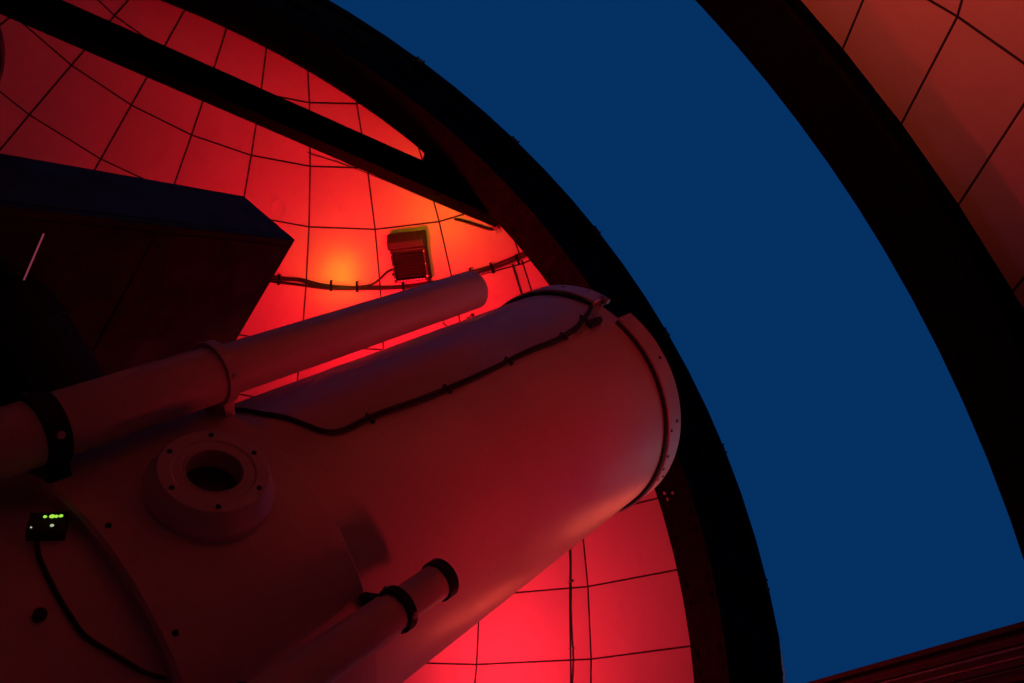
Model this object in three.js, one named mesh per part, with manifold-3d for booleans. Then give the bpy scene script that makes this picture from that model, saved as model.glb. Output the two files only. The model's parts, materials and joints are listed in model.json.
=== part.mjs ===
// Observatory dome with its equatorial telescope. Millimetres, +Z up, slit and door towards -Y,
// origin on the ground at the centre of the round building.
import * as THREE from "three";
import * as BufferGeometryUtils from "three/addons/utils/BufferGeometryUtils.js";
import Module from "manifold-3d";

// Driving dimensions
const GAP = 0.3; // running gap between neighbouring pieces
const SHELL_R = 4000; // inner radius of the panel corners
const SHELL_T = 60; // panel thickness
const GORE_DEG = 12; // one gore of flat panels
const ROWS_DEG = [0, 8, 14.4, 20.9, 27.3, 33.8, 40.2, 46.7, 53.1, 59.5, 66, 72.4, 78.9]; // seam latitudes
const SPRING_Z = 2850; // level of the dome's centre
const ARCH = { inX: 868, outX: 1160, inR: 3616, outR: 4004, flangeT: 44, recess: 26 };
const ARC_STEP = 4; // degrees between the corners of the curved pieces
const SLIT_END_DEG = 100; // the slit runs from the sill over the top to here
const SILL_Z = SPRING_Z + 240;
const SLAB = { r: 4050, top: 150 };
const WALL = { inR: 3850, outR: 4050, top: 2560 };
const DOORWAY = { halfW: 475, top: 2300 };
const TRACK_TOP = 2600;
const ROLLER = { count: 12, r: 50, w: 60, pathR: 3950, cheekGap: 29, cheekT: 17 };
const RING_BOTTOM = TRACK_TOP + 2 * ROLLER.r + GAP;
const SKIRT = { inR: 4088, outR: 4100, bottom: 2450 };
const TUBE = { r: 464, t: 14, front: 1828, rear: -640, collarR: 483, collarL: 95 };
const SLEEVE = { r: 500, front: 200, rear: -268 }; // the tube's thicker middle
const TUBE_FRONT = new THREE.Vector3(-146, -2049, 3695); // centre of the tube's open end
const TUBE_ALT = 45.5;
const TUBE_AZ = 13.8; // turned from -Y towards +X
const POLAR_ALT = 38.2;
const POLAR_AZ = 39.1; // turned from -Y towards +X
const AXIS_OFFSET = 1110; // from the polar axis to the tube's axis

const rad = THREE.MathUtils.degToRad;
const v3 = (x, y, z) => new THREE.Vector3(x, y, z);
// Direction at an altitude and an azimuth
const pointing = (alt, az) =>
  v3(Math.cos(rad(alt)) * Math.sin(rad(az)), -Math.cos(rad(alt)) * Math.cos(rad(az)), Math.sin(rad(alt)));
const TUBE_DIR = pointing(TUBE_ALT, TUBE_AZ);
const POLAR_DIR = pointing(POLAR_ALT, POLAR_AZ);
const DEC_DIR = POLAR_DIR.clone().cross(TUBE_DIR).normalize(); // from the mount down to the tube
const TUBE_CENTRE = TUBE_FRONT.clone().addScaledVector(TUBE_DIR, -TUBE.front);
const HEAD_CENTRE = TUBE_CENTRE.clone().addScaledVector(DEC_DIR, -AXIS_OFFSET);

// Colours
const look = (color, roughness, metalness) => ({ color, roughness, metalness });
const PANEL = look(0xd9cfc6, 0.75, 0.0);
const STEEL = look(0x2b2729, 0.6, 0.5);
const WALL_PAINT = look(0xd8d5cc, 0.9, 0.0);
const CONCRETE = look(0x9c9891, 0.95, 0.0);
const OUTER = look(0xe6e6e2, 0.5, 0.2);
const TUBE_PAINT = look(0xcfc4bd, 0.4, 0.2);
const MOUNT = look(0x1d1e22, 0.5, 0.4);
const DARK = look(0x151517, 0.7, 0.1);
const GLASS = look(0xaab4bd, 0.05, 1.0);

const wasm = await Module();
wasm.setup();
const group = new THREE.Group();

// A closed geometry as a solid that can be cut and joined.
function solid(geometry) {
  const bare = geometry.clone();
  bare.deleteAttribute("normal");
  bare.deleteAttribute("uv");
  const merged = BufferGeometryUtils.mergeVertices(bare, 1e-3);
  return new wasm.Manifold(
    new wasm.Mesh({
      numProp: 3,
      vertProperties: new Float32Array(merged.attributes.position.array),
      triVerts: new Uint32Array(merged.index.array),
    }),
  );
}

// A solid back as a geometry.
function geometryOf(body) {
  const mesh = body.getMesh();
  const geometry = new THREE.BufferGeometry();
  geometry.setAttribute("position", new THREE.BufferAttribute(mesh.vertProperties, 3));
  geometry.setIndex(new THREE.BufferAttribute(mesh.triVerts, 1));
  return geometry;
}

function joined(solids) {
  return solids.reduce((sum, one) => sum.add(one));
}

// One named piece of the building.
function piece(name, body, finish, parent = group) {
  const geometry = body.isBufferGeometry ? body : geometryOf(body);
  const mesh = new THREE.Mesh(geometry, new THREE.MeshStandardMaterial(finish));
  mesh.name = name;
  parent.add(mesh);
  return mesh;
}

function box(x0, x1, y0, y1, z0, z1) {
  const geometry = new THREE.BoxGeometry(x1 - x0, y1 - y0, z1 - z0);
  geometry.translate((x0 + x1) / 2, (y0 + y1) / 2, (z0 + z1) / 2);
  return geometry;
}

// A cylinder along +Z from z0 to z1.
function drum(r, z0, z1, sides = 24, rTop = r) {
  const geometry = new THREE.CylinderGeometry(rTop, r, z1 - z0, sides);
  geometry.rotateX(Math.PI / 2);
  geometry.translate(0, 0, (z0 + z1) / 2);
  return geometry;
}

// A closed profile of (radius, height) points turned about +Z.
function turned(points, sides = 60) {
  const profile = points.map(([r, z]) => new THREE.Vector2(r, z));
  const geometry = new THREE.LatheGeometry(profile, sides);
  geometry.rotateX(Math.PI / 2);
  return geometry;
}

// A hollow ring about +Z.
function pipe(outR, inR, z0, z1, sides = 40) {
  return turned([[inR, z0], [outR, z0], [outR, z1], [inR, z1], [inR, z0]], sides);
}

// A prism from a plan outline, from z0 up to z1.
function slab(outline, z0, z1) {
  const shape = new THREE.Shape(outline.map(([x, y]) => new THREE.Vector2(x, y)));
  const geometry = new THREE.ExtrudeGeometry(shape, { depth: z1 - z0, bevelEnabled: false });
  geometry.translate(0, 0, z0);
  return geometry;
}

// A grid of corner points, rows by columns, closed into a solid between an inner and an outer sheet.
function sheetSolid(inner, outer) {
  const rows = inner.length;
  const cols = inner[0].length;
  const points = [...inner.flat(), ...outer.flat()];
  const at = (side, r, c) => side * rows * cols + r * cols + c;
  const index = [];
  const quad = (a, b, c, d) => index.push(a, b, c, a, c, d);
  for (let r = 0; r < rows - 1; r++) {
    for (let c = 0; c < cols - 1; c++) {
      quad(at(0, r, c), at(0, r + 1, c), at(0, r + 1, c + 1), at(0, r, c + 1));
      quad(at(1, r, c), at(1, r, c + 1), at(1, r + 1, c + 1), at(1, r + 1, c));
    }
    quad(at(0, r, 0), at(1, r, 0), at(1, r + 1, 0), at(0, r + 1, 0));
    quad(at(0, r, cols - 1), at(0, r + 1, cols - 1), at(1, r + 1, cols - 1), at(1, r, cols - 1));
  }
  for (let c = 0; c < cols - 1; c++) {
    quad(at(0, 0, c), at(0, 0, c + 1), at(1, 0, c + 1), at(1, 0, c));
    quad(at(0, rows - 1, c), at(1, rows - 1, c), at(1, rows - 1, c + 1), at(0, rows - 1, c + 1));
  }
  const geometry = new THREE.BufferGeometry();
  geometry.setAttribute("position", new THREE.Float32BufferAttribute(points.flatMap((p) => p.toArray()), 3));
  geometry.setIndex(index);
  return geometry;
}

// Point of the dome at an azimuth from the slit (towards +X), a latitude and a radius.
function domePoint(az, lat, r) {
  const flat = r * Math.cos(rad(lat));
  return v3(flat * Math.sin(rad(az)), -flat * Math.cos(rad(az)), SPRING_Z + r * Math.sin(rad(lat)));
}

// Flat-panelled shell between two azimuths.
function shellSector(az0, az1) {
  const inset = 0.003;
  const columns = [];
  for (let az = az0; az <= az1; az += GORE_DEG) columns.push(az);
  columns[0] += inset;
  columns[columns.length - 1] -= inset;
  const sheet = (r) => ROWS_DEG.map((lat) => columns.map((az) => domePoint(az, lat, r)));
  return solid(sheetSolid(sheet(SHELL_R), sheet(SHELL_R + SHELL_T)));
}

// A profile of (x, radius) corners swept about the X axis through the dome's centre, angles from the slit's foot.
function arcSweep(profile, from, to) {
  const steps = Math.round((to - from) / ARC_STEP);
  const ring = (i) => {
    const angle = rad(from + ((to - from) * i) / steps);
    return profile.map(([x, r]) => v3(x, -r * Math.cos(angle), SPRING_Z + r * Math.sin(angle)));
  };
  const n = profile.length;
  const points = [];
  const index = [];
  for (let i = 0; i <= steps; i++) points.push(...ring(i));
  for (let i = 0; i < steps; i++) {
    for (let j = 0; j < n; j++) {
      const a = i * n + j;
      const b = i * n + ((j + 1) % n);
      index.push(a, b, b + n, a, b + n, a + n);
    }
  }
  const outline = profile.map(([x, r]) => new THREE.Vector2(x, r));
  const turnOf = (corners) => Math.sign(THREE.ShapeUtils.area(corners));
  for (const face of THREE.ShapeUtils.triangulateShape(outline, [])) {
    const same = turnOf(face.map((i) => outline[i])) === turnOf(outline);
    const [a, b, c] = same ? face : [...face].reverse();
    index.push(a, c, b);
    index.push(steps * n + a, steps * n + b, steps * n + c);
  }
  const geometry = new THREE.BufferGeometry();
  geometry.setAttribute("position", new THREE.Float32BufferAttribute(points.flatMap((p) => p.toArray()), 3));
  geometry.setIndex(index);
  const body = solid(geometry);
  return body.volume() < 0 ? solid(flipped(geometry)) : body;
}

function flipped(geometry) {
  const index = geometry.index.array;
  for (let i = 0; i < index.length; i += 3) [index[i + 1], index[i + 2]] = [index[i + 2], index[i + 1]];
  return geometry;
}

// A group whose local X, Y and Z point along the given directions.
function placed(origin, x, y, z) {
  const holder = new THREE.Group();
  holder.matrix.makeBasis(x, y, z).setPosition(origin);
  holder.matrixAutoUpdate = false;
  holder.matrixWorldNeedsUpdate = true;
  group.add(holder);
  return holder;
}

// A solid moved from such a local frame into the building's frame.
function moved(geometry, origin, x, y, z) {
  return geometry.clone().applyMatrix4(new THREE.Matrix4().makeBasis(x, y, z).setPosition(origin));
}

// Ground floor and round wall
const polygon = (r, az) => {
  const middle = Math.round(az / GORE_DEG) * GORE_DEG;
  const reach = (r * Math.cos(rad(GORE_DEG / 2))) / Math.cos(rad(az - middle));
  return [reach * Math.sin(rad(az)), -reach * Math.cos(rad(az))];
};

function ringOutline(outR, inR, az0, az1) {
  const azimuths = [az0];
  for (let az = Math.ceil((az0 + 6.01) / GORE_DEG) * GORE_DEG - 6; az < az1 - 0.01; az += GORE_DEG) {
    if (az > az0 + 0.01) azimuths.push(az);
  }
  azimuths.push(az1);
  const outer = azimuths.map((az) => polygon(outR, az));
  const inner = azimuths.map((az) => polygon(inR, az)).reverse();
  return [...outer, ...inner];
}

const fullOutline = (r) => Array.from({ length: 360 / GORE_DEG }, (_, i) => polygon(r, i * GORE_DEG + 6));

function buildGround() {
  piece("floor_slab", slab(fullOutline(SLAB.r), 0, SLAB.top), CONCRETE);
  const doorway = solid(box(-DOORWAY.halfW, DOORWAY.halfW, -5000, 0, 0, 4000));
  const edge = 0.003;
  const parts = [
    ["wall_front", 3, 54],
    ["wall_side", 54, 114],
    ["wall_rear", 114, 180],
  ];
  for (const [name, from, to] of parts) {
    for (const [side, sign] of [["left", -1], ["right", 1]]) {
      const a = sign > 0 ? from + edge : -to + edge;
      const b = sign > 0 ? to - edge : -from - edge;
      const wall = solid(slab(ringOutline(WALL.outR, WALL.inR, a, b), SLAB.top + GAP, WALL.top));
      piece(name + "_" + side, wall.subtract(doorway), WALL_PAINT);
    }
  }
  const lintel = solid(slab(ringOutline(WALL.outR, WALL.inR, -9, 9), DOORWAY.top, WALL.top));
  const inside = solid(box(GAP - DOORWAY.halfW, DOORWAY.halfW - GAP, -5000, 0, DOORWAY.top, 4000));
  piece("wall_over_door", lintel.intersect(inside), WALL_PAINT);
}

// Entrance door in its frame, shut
function buildDoor() {
  const half = DOORWAY.halfW - GAP;
  const jamb = 60;
  const top = DOORWAY.top - GAP;
  const floor = SLAB.top + GAP;
  const front = -4040;
  const back = -3870;
  const frame = joined([
    solid(box(-half, -half + jamb, front, back, floor, top)),
    solid(box(half - jamb, half, front, back, floor, top)),
    solid(box(-half, half, front, back, top - jamb, top)),
    solid(box(-half, half, front, back, floor, floor + 25)),
  ]);
  piece("door_frame", frame, STEEL);
  const clear = half - jamb - 4;
  const leaf = joined([
    solid(box(-clear, clear, -4020, -3975, floor + 29, top - jamb - 4)),
    solid(box(clear - 90, clear - 60, -4050, -4020, 1050, 1250)),
  ]);
  const hinges = [400, 1200, 1950].map((z) => solid(box(-clear - 4 + GAP, -clear + 1, -4020, -4005, z, z + 110)));
  piece("entrance_door", joined([leaf, ...hinges]), OUTER);
}

// Fixed track on the wall's top, with the rollers that carry the dome
function buildTrack() {
  const parts = [solid(turned([
    [WALL.inR + 20, WALL.top + GAP],
    [WALL.outR - 40, WALL.top + GAP],
    [WALL.outR - 40, TRACK_TOP],
    [WALL.inR + 20, TRACK_TOP],
    [WALL.inR + 20, WALL.top + GAP],
  ]))];
  for (let i = 0; i < ROLLER.count; i++) {
    const wheel = new THREE.CylinderGeometry(ROLLER.r, ROLLER.r, ROLLER.w, 12);
    wheel.rotateZ(Math.PI / 2);
    wheel.translate(ROLLER.pathR, 0, TRACK_TOP + ROLLER.r);
    const cheeks = [-1, 1].map((side) => {
      const near = ROLLER.pathR + side * ROLLER.cheekGap;
      const far = near + side * ROLLER.cheekT;
      return box(Math.min(near, far), Math.max(near, far), -55, 55, TRACK_TOP - 10, TRACK_TOP + 72);
    });
    const turn = ((i + 0.5) * 2 * Math.PI) / ROLLER.count;
    for (const geometry of [wheel, ...cheeks]) parts.push(solid(geometry.rotateZ(turn)));
  }
  piece("track_ring", joined(parts), STEEL);
}

// Turning dome: base ring with skirt, shell, arches, sill, braces
function buildDome() {
  piece("base_ring", turned([
    [3860, RING_BOTTOM],
    [4040, RING_BOTTOM],
    [4040, RING_BOTTOM + 60],
    [SKIRT.inR, RING_BOTTOM + 60],
    [SKIRT.inR, SKIRT.bottom],
    [SKIRT.outR, SKIRT.bottom],
    [SKIRT.outR, SPRING_Z],
    [3860, SPRING_Z],
    [3860, RING_BOTTOM],
  ]), STEEL);

  const aboveRing = solid(box(-6000, 6000, -6000, 6000, 0, SPRING_Z + GAP));
  const slot = solid(box(-ARCH.outX - GAP, ARCH.outX + GAP, -6000, 6000, 0, 9000));
  const sectors = [6, 42, 78, 114, 150, 174];
  for (let i = 0; i < sectors.length - 1; i++) {
    const number = i + 1;
    const right = shellSector(sectors[i], sectors[i + 1]).subtract(aboveRing).subtract(slot);
    const left = shellSector(-sectors[i + 1], -sectors[i]).subtract(aboveRing).subtract(slot);
    piece("shell_east_" + number, right, PANEL);
    piece("shell_west_" + number, left, PANEL);
  }

  const { inX, outX, inR, outR, flangeT, recess } = ARCH;
  const profile = [
    [inX, inR],
    [outX, inR],
    [outX, inR + flangeT],
    [outX - recess, inR + flangeT],
    [outX - recess, outR - 2.2 * flangeT],
    [outX, outR - 2.2 * flangeT],
    [outX, outR],
    [inX, outR],
    [inX, outR - flangeT],
    [inX + recess, outR - flangeT],
    [inX + recess, inR + flangeT],
    [inX, inR + flangeT],
  ];
  const mirrored = profile.map(([x, r]) => [-x, r]);
  piece("arch_east", arcSweep(profile, 0, 180).subtract(aboveRing), STEEL);
  piece("arch_west", arcSweep(mirrored, 0, 180).subtract(aboveRing), STEEL);

  const inner = ARCH.inX - GAP;
  const stripInR = Math.sqrt(SHELL_R ** 2 - ARCH.inX ** 2);
  const strip = [[-inner, stripInR], [inner, stripInR], [inner, stripInR + SHELL_T], [-inner, stripInR + SHELL_T]];
  piece("rear_strip", arcSweep(strip, SLIT_END_DEG, 180).subtract(aboveRing), PANEL);
  const header = [[-inner, 3640], [inner, 3640], [inner, stripInR - GAP], [-inner, stripInR - GAP]];
  const headerSpan = arcSweep(header, SLIT_END_DEG, SLIT_END_DEG + ARC_STEP);
  piece("slit_header", headerSpan, STEEL);

  const sillY = -3930;
  const sill = [solid(box(-inner, inner, sillY - 20, sillY + 20, SPRING_Z + GAP, SILL_Z))];
  sill.push(solid(box(-inner, inner, sillY - 45, sillY + 65, SILL_Z - 24, SILL_Z)));
  for (const z of [30, 85, 165]) {
    sill.push(solid(box(-inner, inner, sillY + 10, sillY + 48, SPRING_Z + z, SPRING_Z + z + 26)));
  }
  piece("slit_sill", joined(sill), PANEL);
}

// Level steel tie beside each arch, from its front to its rear, with a gusset plate at both ends
const TIE = { y: 2090, bottom: 5858, depth: 220, width: 90, flange: 14, web: 10, plate: 12, gussetY: 1470 };

function buildTies() {
  const inside = insideShell();
  const near = ARCH.outX + GAP;
  const far = near + TIE.width;
  const middle = (near + far) / 2;
  const top = TIE.bottom + TIE.depth;
  const rimR = ARCH.inR + ARCH.flangeT;
  const rise = TIE.bottom - SPRING_Z;
  const low = Math.asin(rise / rimR);
  const high = Math.acos(TIE.gussetY / rimR);
  const rim = Array.from({ length: 5 }, (_, i) => low + ((high - low) * i) / 4);
  const outline = [...rim.map((a) => [rimR * Math.cos(a), rimR * Math.sin(a)]), [TIE.gussetY, rise]];
  for (const [name, side] of [["brace_east", 1], ["brace_west", -1]]) {
    const bar = (x0, x1, y0, y1, z0, z1) => solid(box(Math.min(side * x0, side * x1), Math.max(side * x0, side * x1),
      y0, y1, z0, z1));
    const beam = joined([
      bar(near, far, -TIE.y, TIE.y, TIE.bottom, TIE.bottom + TIE.flange),
      bar(near, far, -TIE.y, TIE.y, top - TIE.flange, top),
      bar(middle - TIE.web / 2, middle + TIE.web / 2, -TIE.y, TIE.y, TIE.bottom, top),
    ]);
    const start = side > 0 ? near : -near - TIE.plate;
    const plates = [1, -1].map((end) => {
      const corners = outline.map(([y, z]) => [end * y, z]);
      const plate = slab(end > 0 ? corners : corners.reverse(), 0, TIE.plate);
      return solid(moved(plate, v3(start, 0, SPRING_Z), v3(0, 1, 0), v3(0, 0, 1), v3(1, 0, 0)));
    });
    piece(name, joined([beam, ...plates]).intersect(inside), STEEL);
  }
}

// The room under the panels, a little smaller than their inner faces
function insideShell() {
  const r = SHELL_R - 0.5;
  const rows = ROWS_DEG.slice(0, -1);
  const points = [];
  const index = [];
  const n = 360 / GORE_DEG;
  for (const lat of rows) {
    for (let i = 0; i < n; i++) points.push(domePoint(6 + i * GORE_DEG, lat, r));
  }
  const bottom = points.length;
  points.push(v3(0, 0, SPRING_Z));
  points.push(v3(0, 0, SPRING_Z + r * Math.sin(rad(rows[rows.length - 1]))));
  for (let k = 0; k < rows.length - 1; k++) {
    for (let i = 0; i < n; i++) {
      const j = (i + 1) % n;
      const [a, b, c, d] = [k * n + i, k * n + j, (k + 1) * n + j, (k + 1) * n + i];
      index.push(a, b, c, a, c, d);
    }
  }
  for (let i = 0; i < n; i++) {
    const j = (i + 1) % n;
    const topRow = (rows.length - 1) * n;
    index.push(bottom, j, i);
    index.push(bottom + 1, topRow + i, topRow + j);
  }
  const geometry = new THREE.BufferGeometry();
  geometry.setAttribute("position", new THREE.Float32BufferAttribute(points.flatMap((p) => p.toArray()), 3));
  geometry.setIndex(index);
  return solid(geometry);
}

// A frame lying on the inner face of the panel at an azimuth and a row: x level, y up the panel, z into the room
function panelFrame(az, row) {
  const a = domePoint(az - 6, ROWS_DEG[row], SHELL_R);
  const b = domePoint(az + 6, ROWS_DEG[row], SHELL_R);
  const c = domePoint(az + 6, ROWS_DEG[row + 1], SHELL_R);
  const d = domePoint(az - 6, ROWS_DEG[row + 1], SHELL_R);
  const origin = a.clone().add(b).add(c).add(d).multiplyScalar(0.25);
  const x = a.clone().sub(b).normalize();
  const y = c.clone().add(d).sub(a).sub(b).normalize();
  const z = x.clone().cross(y).normalize();
  return { origin, x, y: z.clone().cross(x), z };
}

// Hooded, louvred wall box and the cables beside it
function buildWallBox() {
  const f = panelFrame(48, 7);
  const holder = placed(f.origin, f.x, f.y, f.z);
  const frame = solid(box(-134, 134, -178, 60, GAP, 70)).subtract(solid(box(-118, 118, -162, 46, 20, 80)));
  const slats = [frame];
  for (let y = -150; y < 40; y += 26) {
    slats.push(solid(box(-120, 120, y, y + 8, 10, 58)));
  }
  piece("wall_box_louvre", joined(slats), MOUNT, holder);
  const hood = new THREE.Shape([[GAP, 60.3], [74, 60.3], [96, 70], [96, 118], [60, 178], [GAP, 178]]
    .map(([z, y]) => new THREE.Vector2(z, y)));
  const cover = new THREE.ExtrudeGeometry(hood, { depth: 280, bevelEnabled: false });
  cover.rotateY(-Math.PI / 2);
  cover.translate(140, 0, 0);
  piece("wall_box_hood", cover, DARK, holder);
}

// A round cable along a path, cut into equal steps
function cable(path, r, steps, sides = 8) {
  const corners = Array.from({ length: sides }, (_, i) => {
    const a = (i * 2 * Math.PI) / sides;
    return new THREE.Vector2(r * Math.cos(a), r * Math.sin(a));
  });
  return new THREE.ExtrudeGeometry(new THREE.Shape(corners), { steps, bevelEnabled: false, extrudePath: path });
}

// Point on the inner face of a row of panels, a share of the way up it and lifted into the room
function onPanel(az, row, share, lift) {
  const seam = Math.abs((az - 6) % GORE_DEG) < 0.01;
  const edge = (a) => domePoint(a, ROWS_DEG[row], SHELL_R).lerp(domePoint(a, ROWS_DEG[row + 1], SHELL_R), share);
  const point = seam ? edge(az) : edge(az - 6).lerp(edge(az + 6), 0.5);
  const middle = (ROWS_DEG[row] + ROWS_DEG[row + 1]) / 2;
  const out = domePoint(az, middle, 1).sub(v3(0, 0, SPRING_Z));
  return point.addScaledVector(out, -lift / (seam ? Math.cos(rad(GORE_DEG / 2)) : 1));
}

// Cable along the panels, and the lead that joins it from the wall box
const RUN_R = 17;
const BRANCH_R = 9;

function buildCableRun() {
  const points = [30, 36, 42, 48, 54, 60, 66, 72].map((az) => onPanel(az, 7, 0.055, RUN_R + GAP));
  const run = new THREE.CurvePath();
  for (let i = 0; i < points.length - 1; i++) run.add(new THREE.LineCurve3(points[i], points[i + 1]));
  const f = panelFrame(48, 7);
  const lift = RUN_R + GAP;
  const corners = [[-137, -120], [-172, -125], [-205, -170], [-262, -196]];
  const lead = new THREE.CatmullRomCurve3(corners.map(([x, y]) =>
    f.origin.clone().addScaledVector(f.x, x).addScaledVector(f.y, y).addScaledVector(f.z, lift)));
  const body = solid(cable(run, RUN_R, points.length * 2 - 2)).add(solid(cable(lead, BRANCH_R, 10)));
  piece("cable_run", body, DARK);
}

// Shutters, open and parked over the rear of the dome
function buildShutters() {
  const top = ARCH.outR + GAP;
  const lower = [
    [-960, top], [-900, top], [-900, 4014], [900, 4014], [900, top], [960, top], [960, 4040], [-960, 4040],
  ];
  piece("lower_shutter", arcSweep(lower, 104, 128), OUTER);
  const upper = [
    [-1150, top], [-1000, top], [-1000, 4062], [1000, 4062], [1000, top], [1150, top],
    [1150, 4062], [1178, 4062], [1178, 3960], [1190, 3960], [1190, 4100],
    [-1190, 4100], [-1190, 3960], [-1178, 3960], [-1178, 4062], [-1150, 4062],
  ];
  piece("upper_shutter", arcSweep(upper, 104, 176), OUTER);
}

// Pier, polar housing and the turning head
const POLAR_X = v3(Math.cos(rad(POLAR_AZ)), Math.sin(rad(POLAR_AZ)), 0);
const POLAR_Y = POLAR_DIR.clone().cross(POLAR_X);
const HOUSING = { top: -350, bottom: -1480, half: 230 };
const PIER = { reach: 1370, half: 180, top: 1500 };
const HEAD = { front: 1020, back: -330, across: 340, thick: 148, roll: 43 };

function buildPier() {
  const foot = HEAD_CENTRE.clone().addScaledVector(POLAR_DIR, -PIER.reach);
  const post = (half, z0, z1) => box(foot.x - half, foot.x + half, foot.y - half, foot.y + half, z0, z1);
  piece("pier", post(PIER.half, SLAB.top + GAP, PIER.top), CONCRETE);
  const housing = joined([
    solid(moved(drum(210, HOUSING.bottom, HOUSING.top, 24), HEAD_CENTRE, POLAR_X, POLAR_Y, POLAR_DIR)),
    solid(moved(box(-HOUSING.half, HOUSING.half, -HOUSING.half, 210, HOUSING.bottom + 120, HOUSING.top - 120),
      HEAD_CENTRE, POLAR_X, POLAR_Y, POLAR_DIR)),
    solid(post(PIER.half - 40, PIER.top + GAP, foot.z)),
    solid(post(PIER.half, PIER.top + GAP, PIER.top + 40)),
  ]);
  piece("polar_housing", housing, MOUNT);
}

function headFrame() {
  const roll = rad(HEAD.roll);
  const x = POLAR_X.clone().multiplyScalar(Math.cos(roll)).addScaledVector(POLAR_Y, -Math.sin(roll));
  return { x, y: POLAR_DIR.clone().cross(x), z: POLAR_DIR };
}

function buildHead() {
  const f = headFrame();
  const body = solid(moved(box(-HEAD.across, HEAD.across, -HEAD.thick, HEAD.thick, HEAD.back + 20, HEAD.front),
    HEAD_CENTRE, f.x, f.y, f.z));
  const neck = solid(moved(drum(190, HEAD.back - 19, HEAD.back + 30, 24), HEAD_CENTRE, POLAR_X, POLAR_Y,
    POLAR_DIR));
  piece("polar_head", body.add(neck), MOUNT);
}

const SADDLE_TOP = 550; // face of the saddle, from the tube's axis
const WEIGHT = { r: 440, thick: 250, apart: 15, near: 815, end: 1400 }; // two discs on the declination shaft
const TUBE_Y = DEC_DIR.clone().negate(); // from the tube up to the mount
const TUBE_X = TUBE_Y.clone().cross(TUBE_DIR).normalize();

// A solid given in the declination frame: z from the head's centre towards the tube
function alongDec(geometry) {
  return moved(geometry, HEAD_CENTRE, TUBE_X, TUBE_DIR.clone(), DEC_DIR);
}

function buildDeclination() {
  const f = headFrame();
  const head = solid(moved(
    box(-HEAD.across - GAP, HEAD.across + GAP, -HEAD.thick - GAP, HEAD.thick + GAP, HEAD.back, HEAD.front + GAP),
    HEAD_CENTRE, f.x, f.y, f.z));
  const housing = solid(alongDec(drum(156, 120, AXIS_OFFSET - SADDLE_TOP, 24)));
  piece("declination_housing", housing.subtract(head), MOUNT);
  const weights = joined([
    solid(alongDec(drum(60, -WEIGHT.end, -100, 12))),
    ...[0, WEIGHT.thick + WEIGHT.apart].map((step) =>
      solid(alongDec(drum(WEIGHT.r, -WEIGHT.near - step - WEIGHT.thick, -WEIGHT.near - step, 24)))),
  ]);
  piece("counterweight", weights.subtract(head), MOUNT);
}

// Telescope in its own frame: z along the tube, y towards the mount
const TUBE_FRAME = [TUBE_X, TUBE_Y, TUBE_DIR];

function buildTelescope() {
  const holder = placed(TUBE_CENTRE, ...TUBE_FRAME);
  const inner = TUBE.r - TUBE.t;
  const collarRear = TUBE.front - TUBE.collarL;
  const cradle = solid(drum(SLEEVE.r + GAP, -400, 400, 60));
  const saddle = joined([
    solid(box(-190, 190, 380, SADDLE_TOP - GAP - 20, -220, 160)),
    solid(moved(drum(150, 0, 60, 24), v3(0, SADDLE_TOP - GAP - 60, 0), v3(1, 0, 0), v3(0, 0, -1), v3(0, 1, 0))),
  ]);
  piece("saddle", saddle.subtract(cradle), MOUNT, holder);
  piece("front_tube", pipe(TUBE.r, inner, SLEEVE.front + GAP, collarRear - GAP, 48), TUBE_PAINT, holder);
  const collar = solid(pipe(TUBE.collarR, inner - 10, collarRear, TUBE.front, 60));
  piece("front_collar", collar.subtract(collarSplit()), TUBE_PAINT, holder);
  piece("rear_tube", pipe(TUBE.r, inner, TUBE.rear, SLEEVE.rear - GAP, 48), TUBE_PAINT, holder);
  piece("centre_section", pipe(SLEEVE.r, inner, SLEEVE.rear, SLEEVE.front, 60), TUBE_PAINT, holder);
  buildPort(holder, cradle);
  const cell = joined([
    solid(drum(TUBE.collarR, TUBE.rear - 180, TUBE.rear - GAP, 48)),
    solid(drum(170, TUBE.rear - 420, TUBE.rear - 100, 24)),
  ]);
  piece("mirror_cell", cell, MOUNT, holder);
  piece("primary_mirror", drum(inner - 12, TUBE.rear + 0.1, TUBE.rear + 90, 40), GLASS, holder);
  buildSpider(holder, inner - GAP);
  buildGuide(holder);
  buildFinder(holder);
  buildTubeCable(holder);
}

// Gap in the collar, where the cable comes forward: the rim is open down to the floor
const SPLIT = { angle: 160.4, half: 62, floor: 1768 };

function collarSplit() {
  const out = v3(Math.cos(rad(SPLIT.angle)), Math.sin(rad(SPLIT.angle)), 0);
  const across = v3(-out.y, out.x, 0);
  const slot = (r, z) => {
    const cut = box(r, TUBE.collarR + 20, -SPLIT.half, SPLIT.half, z, TUBE.front + 20);
    return solid(moved(cut, v3(0, 0, 0), out, across, v3(0, 0, 1)));
  };
  return slot(TUBE.r, TUBE.front - TUBE.collarL - 20).add(slot(0.8 * TUBE.r, SPLIT.floor));
}

// Round port on the side of the sleeve, turned up a little towards the mount
const PORT = { turn: 15, z: -15, footR: 140, faceR: 118, holeR: 60, face: 562 };

function buildPort(holder, cradle) {
  const out = v3(-Math.cos(rad(PORT.turn)), Math.sin(rad(PORT.turn)), 0);
  const along = v3(0, 0, 1);
  const hub = turned([[PORT.holeR, 440], [PORT.footR, 440], [PORT.footR, 512], [PORT.faceR, PORT.face],
    [PORT.holeR, PORT.face], [PORT.holeR, 440]], 32);
  const port = solid(moved(hub, v3(0, 0, PORT.z), along.clone().cross(out), along, out));
  piece("side_port", port.subtract(cradle), TUBE_PAINT, holder);
}

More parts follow.
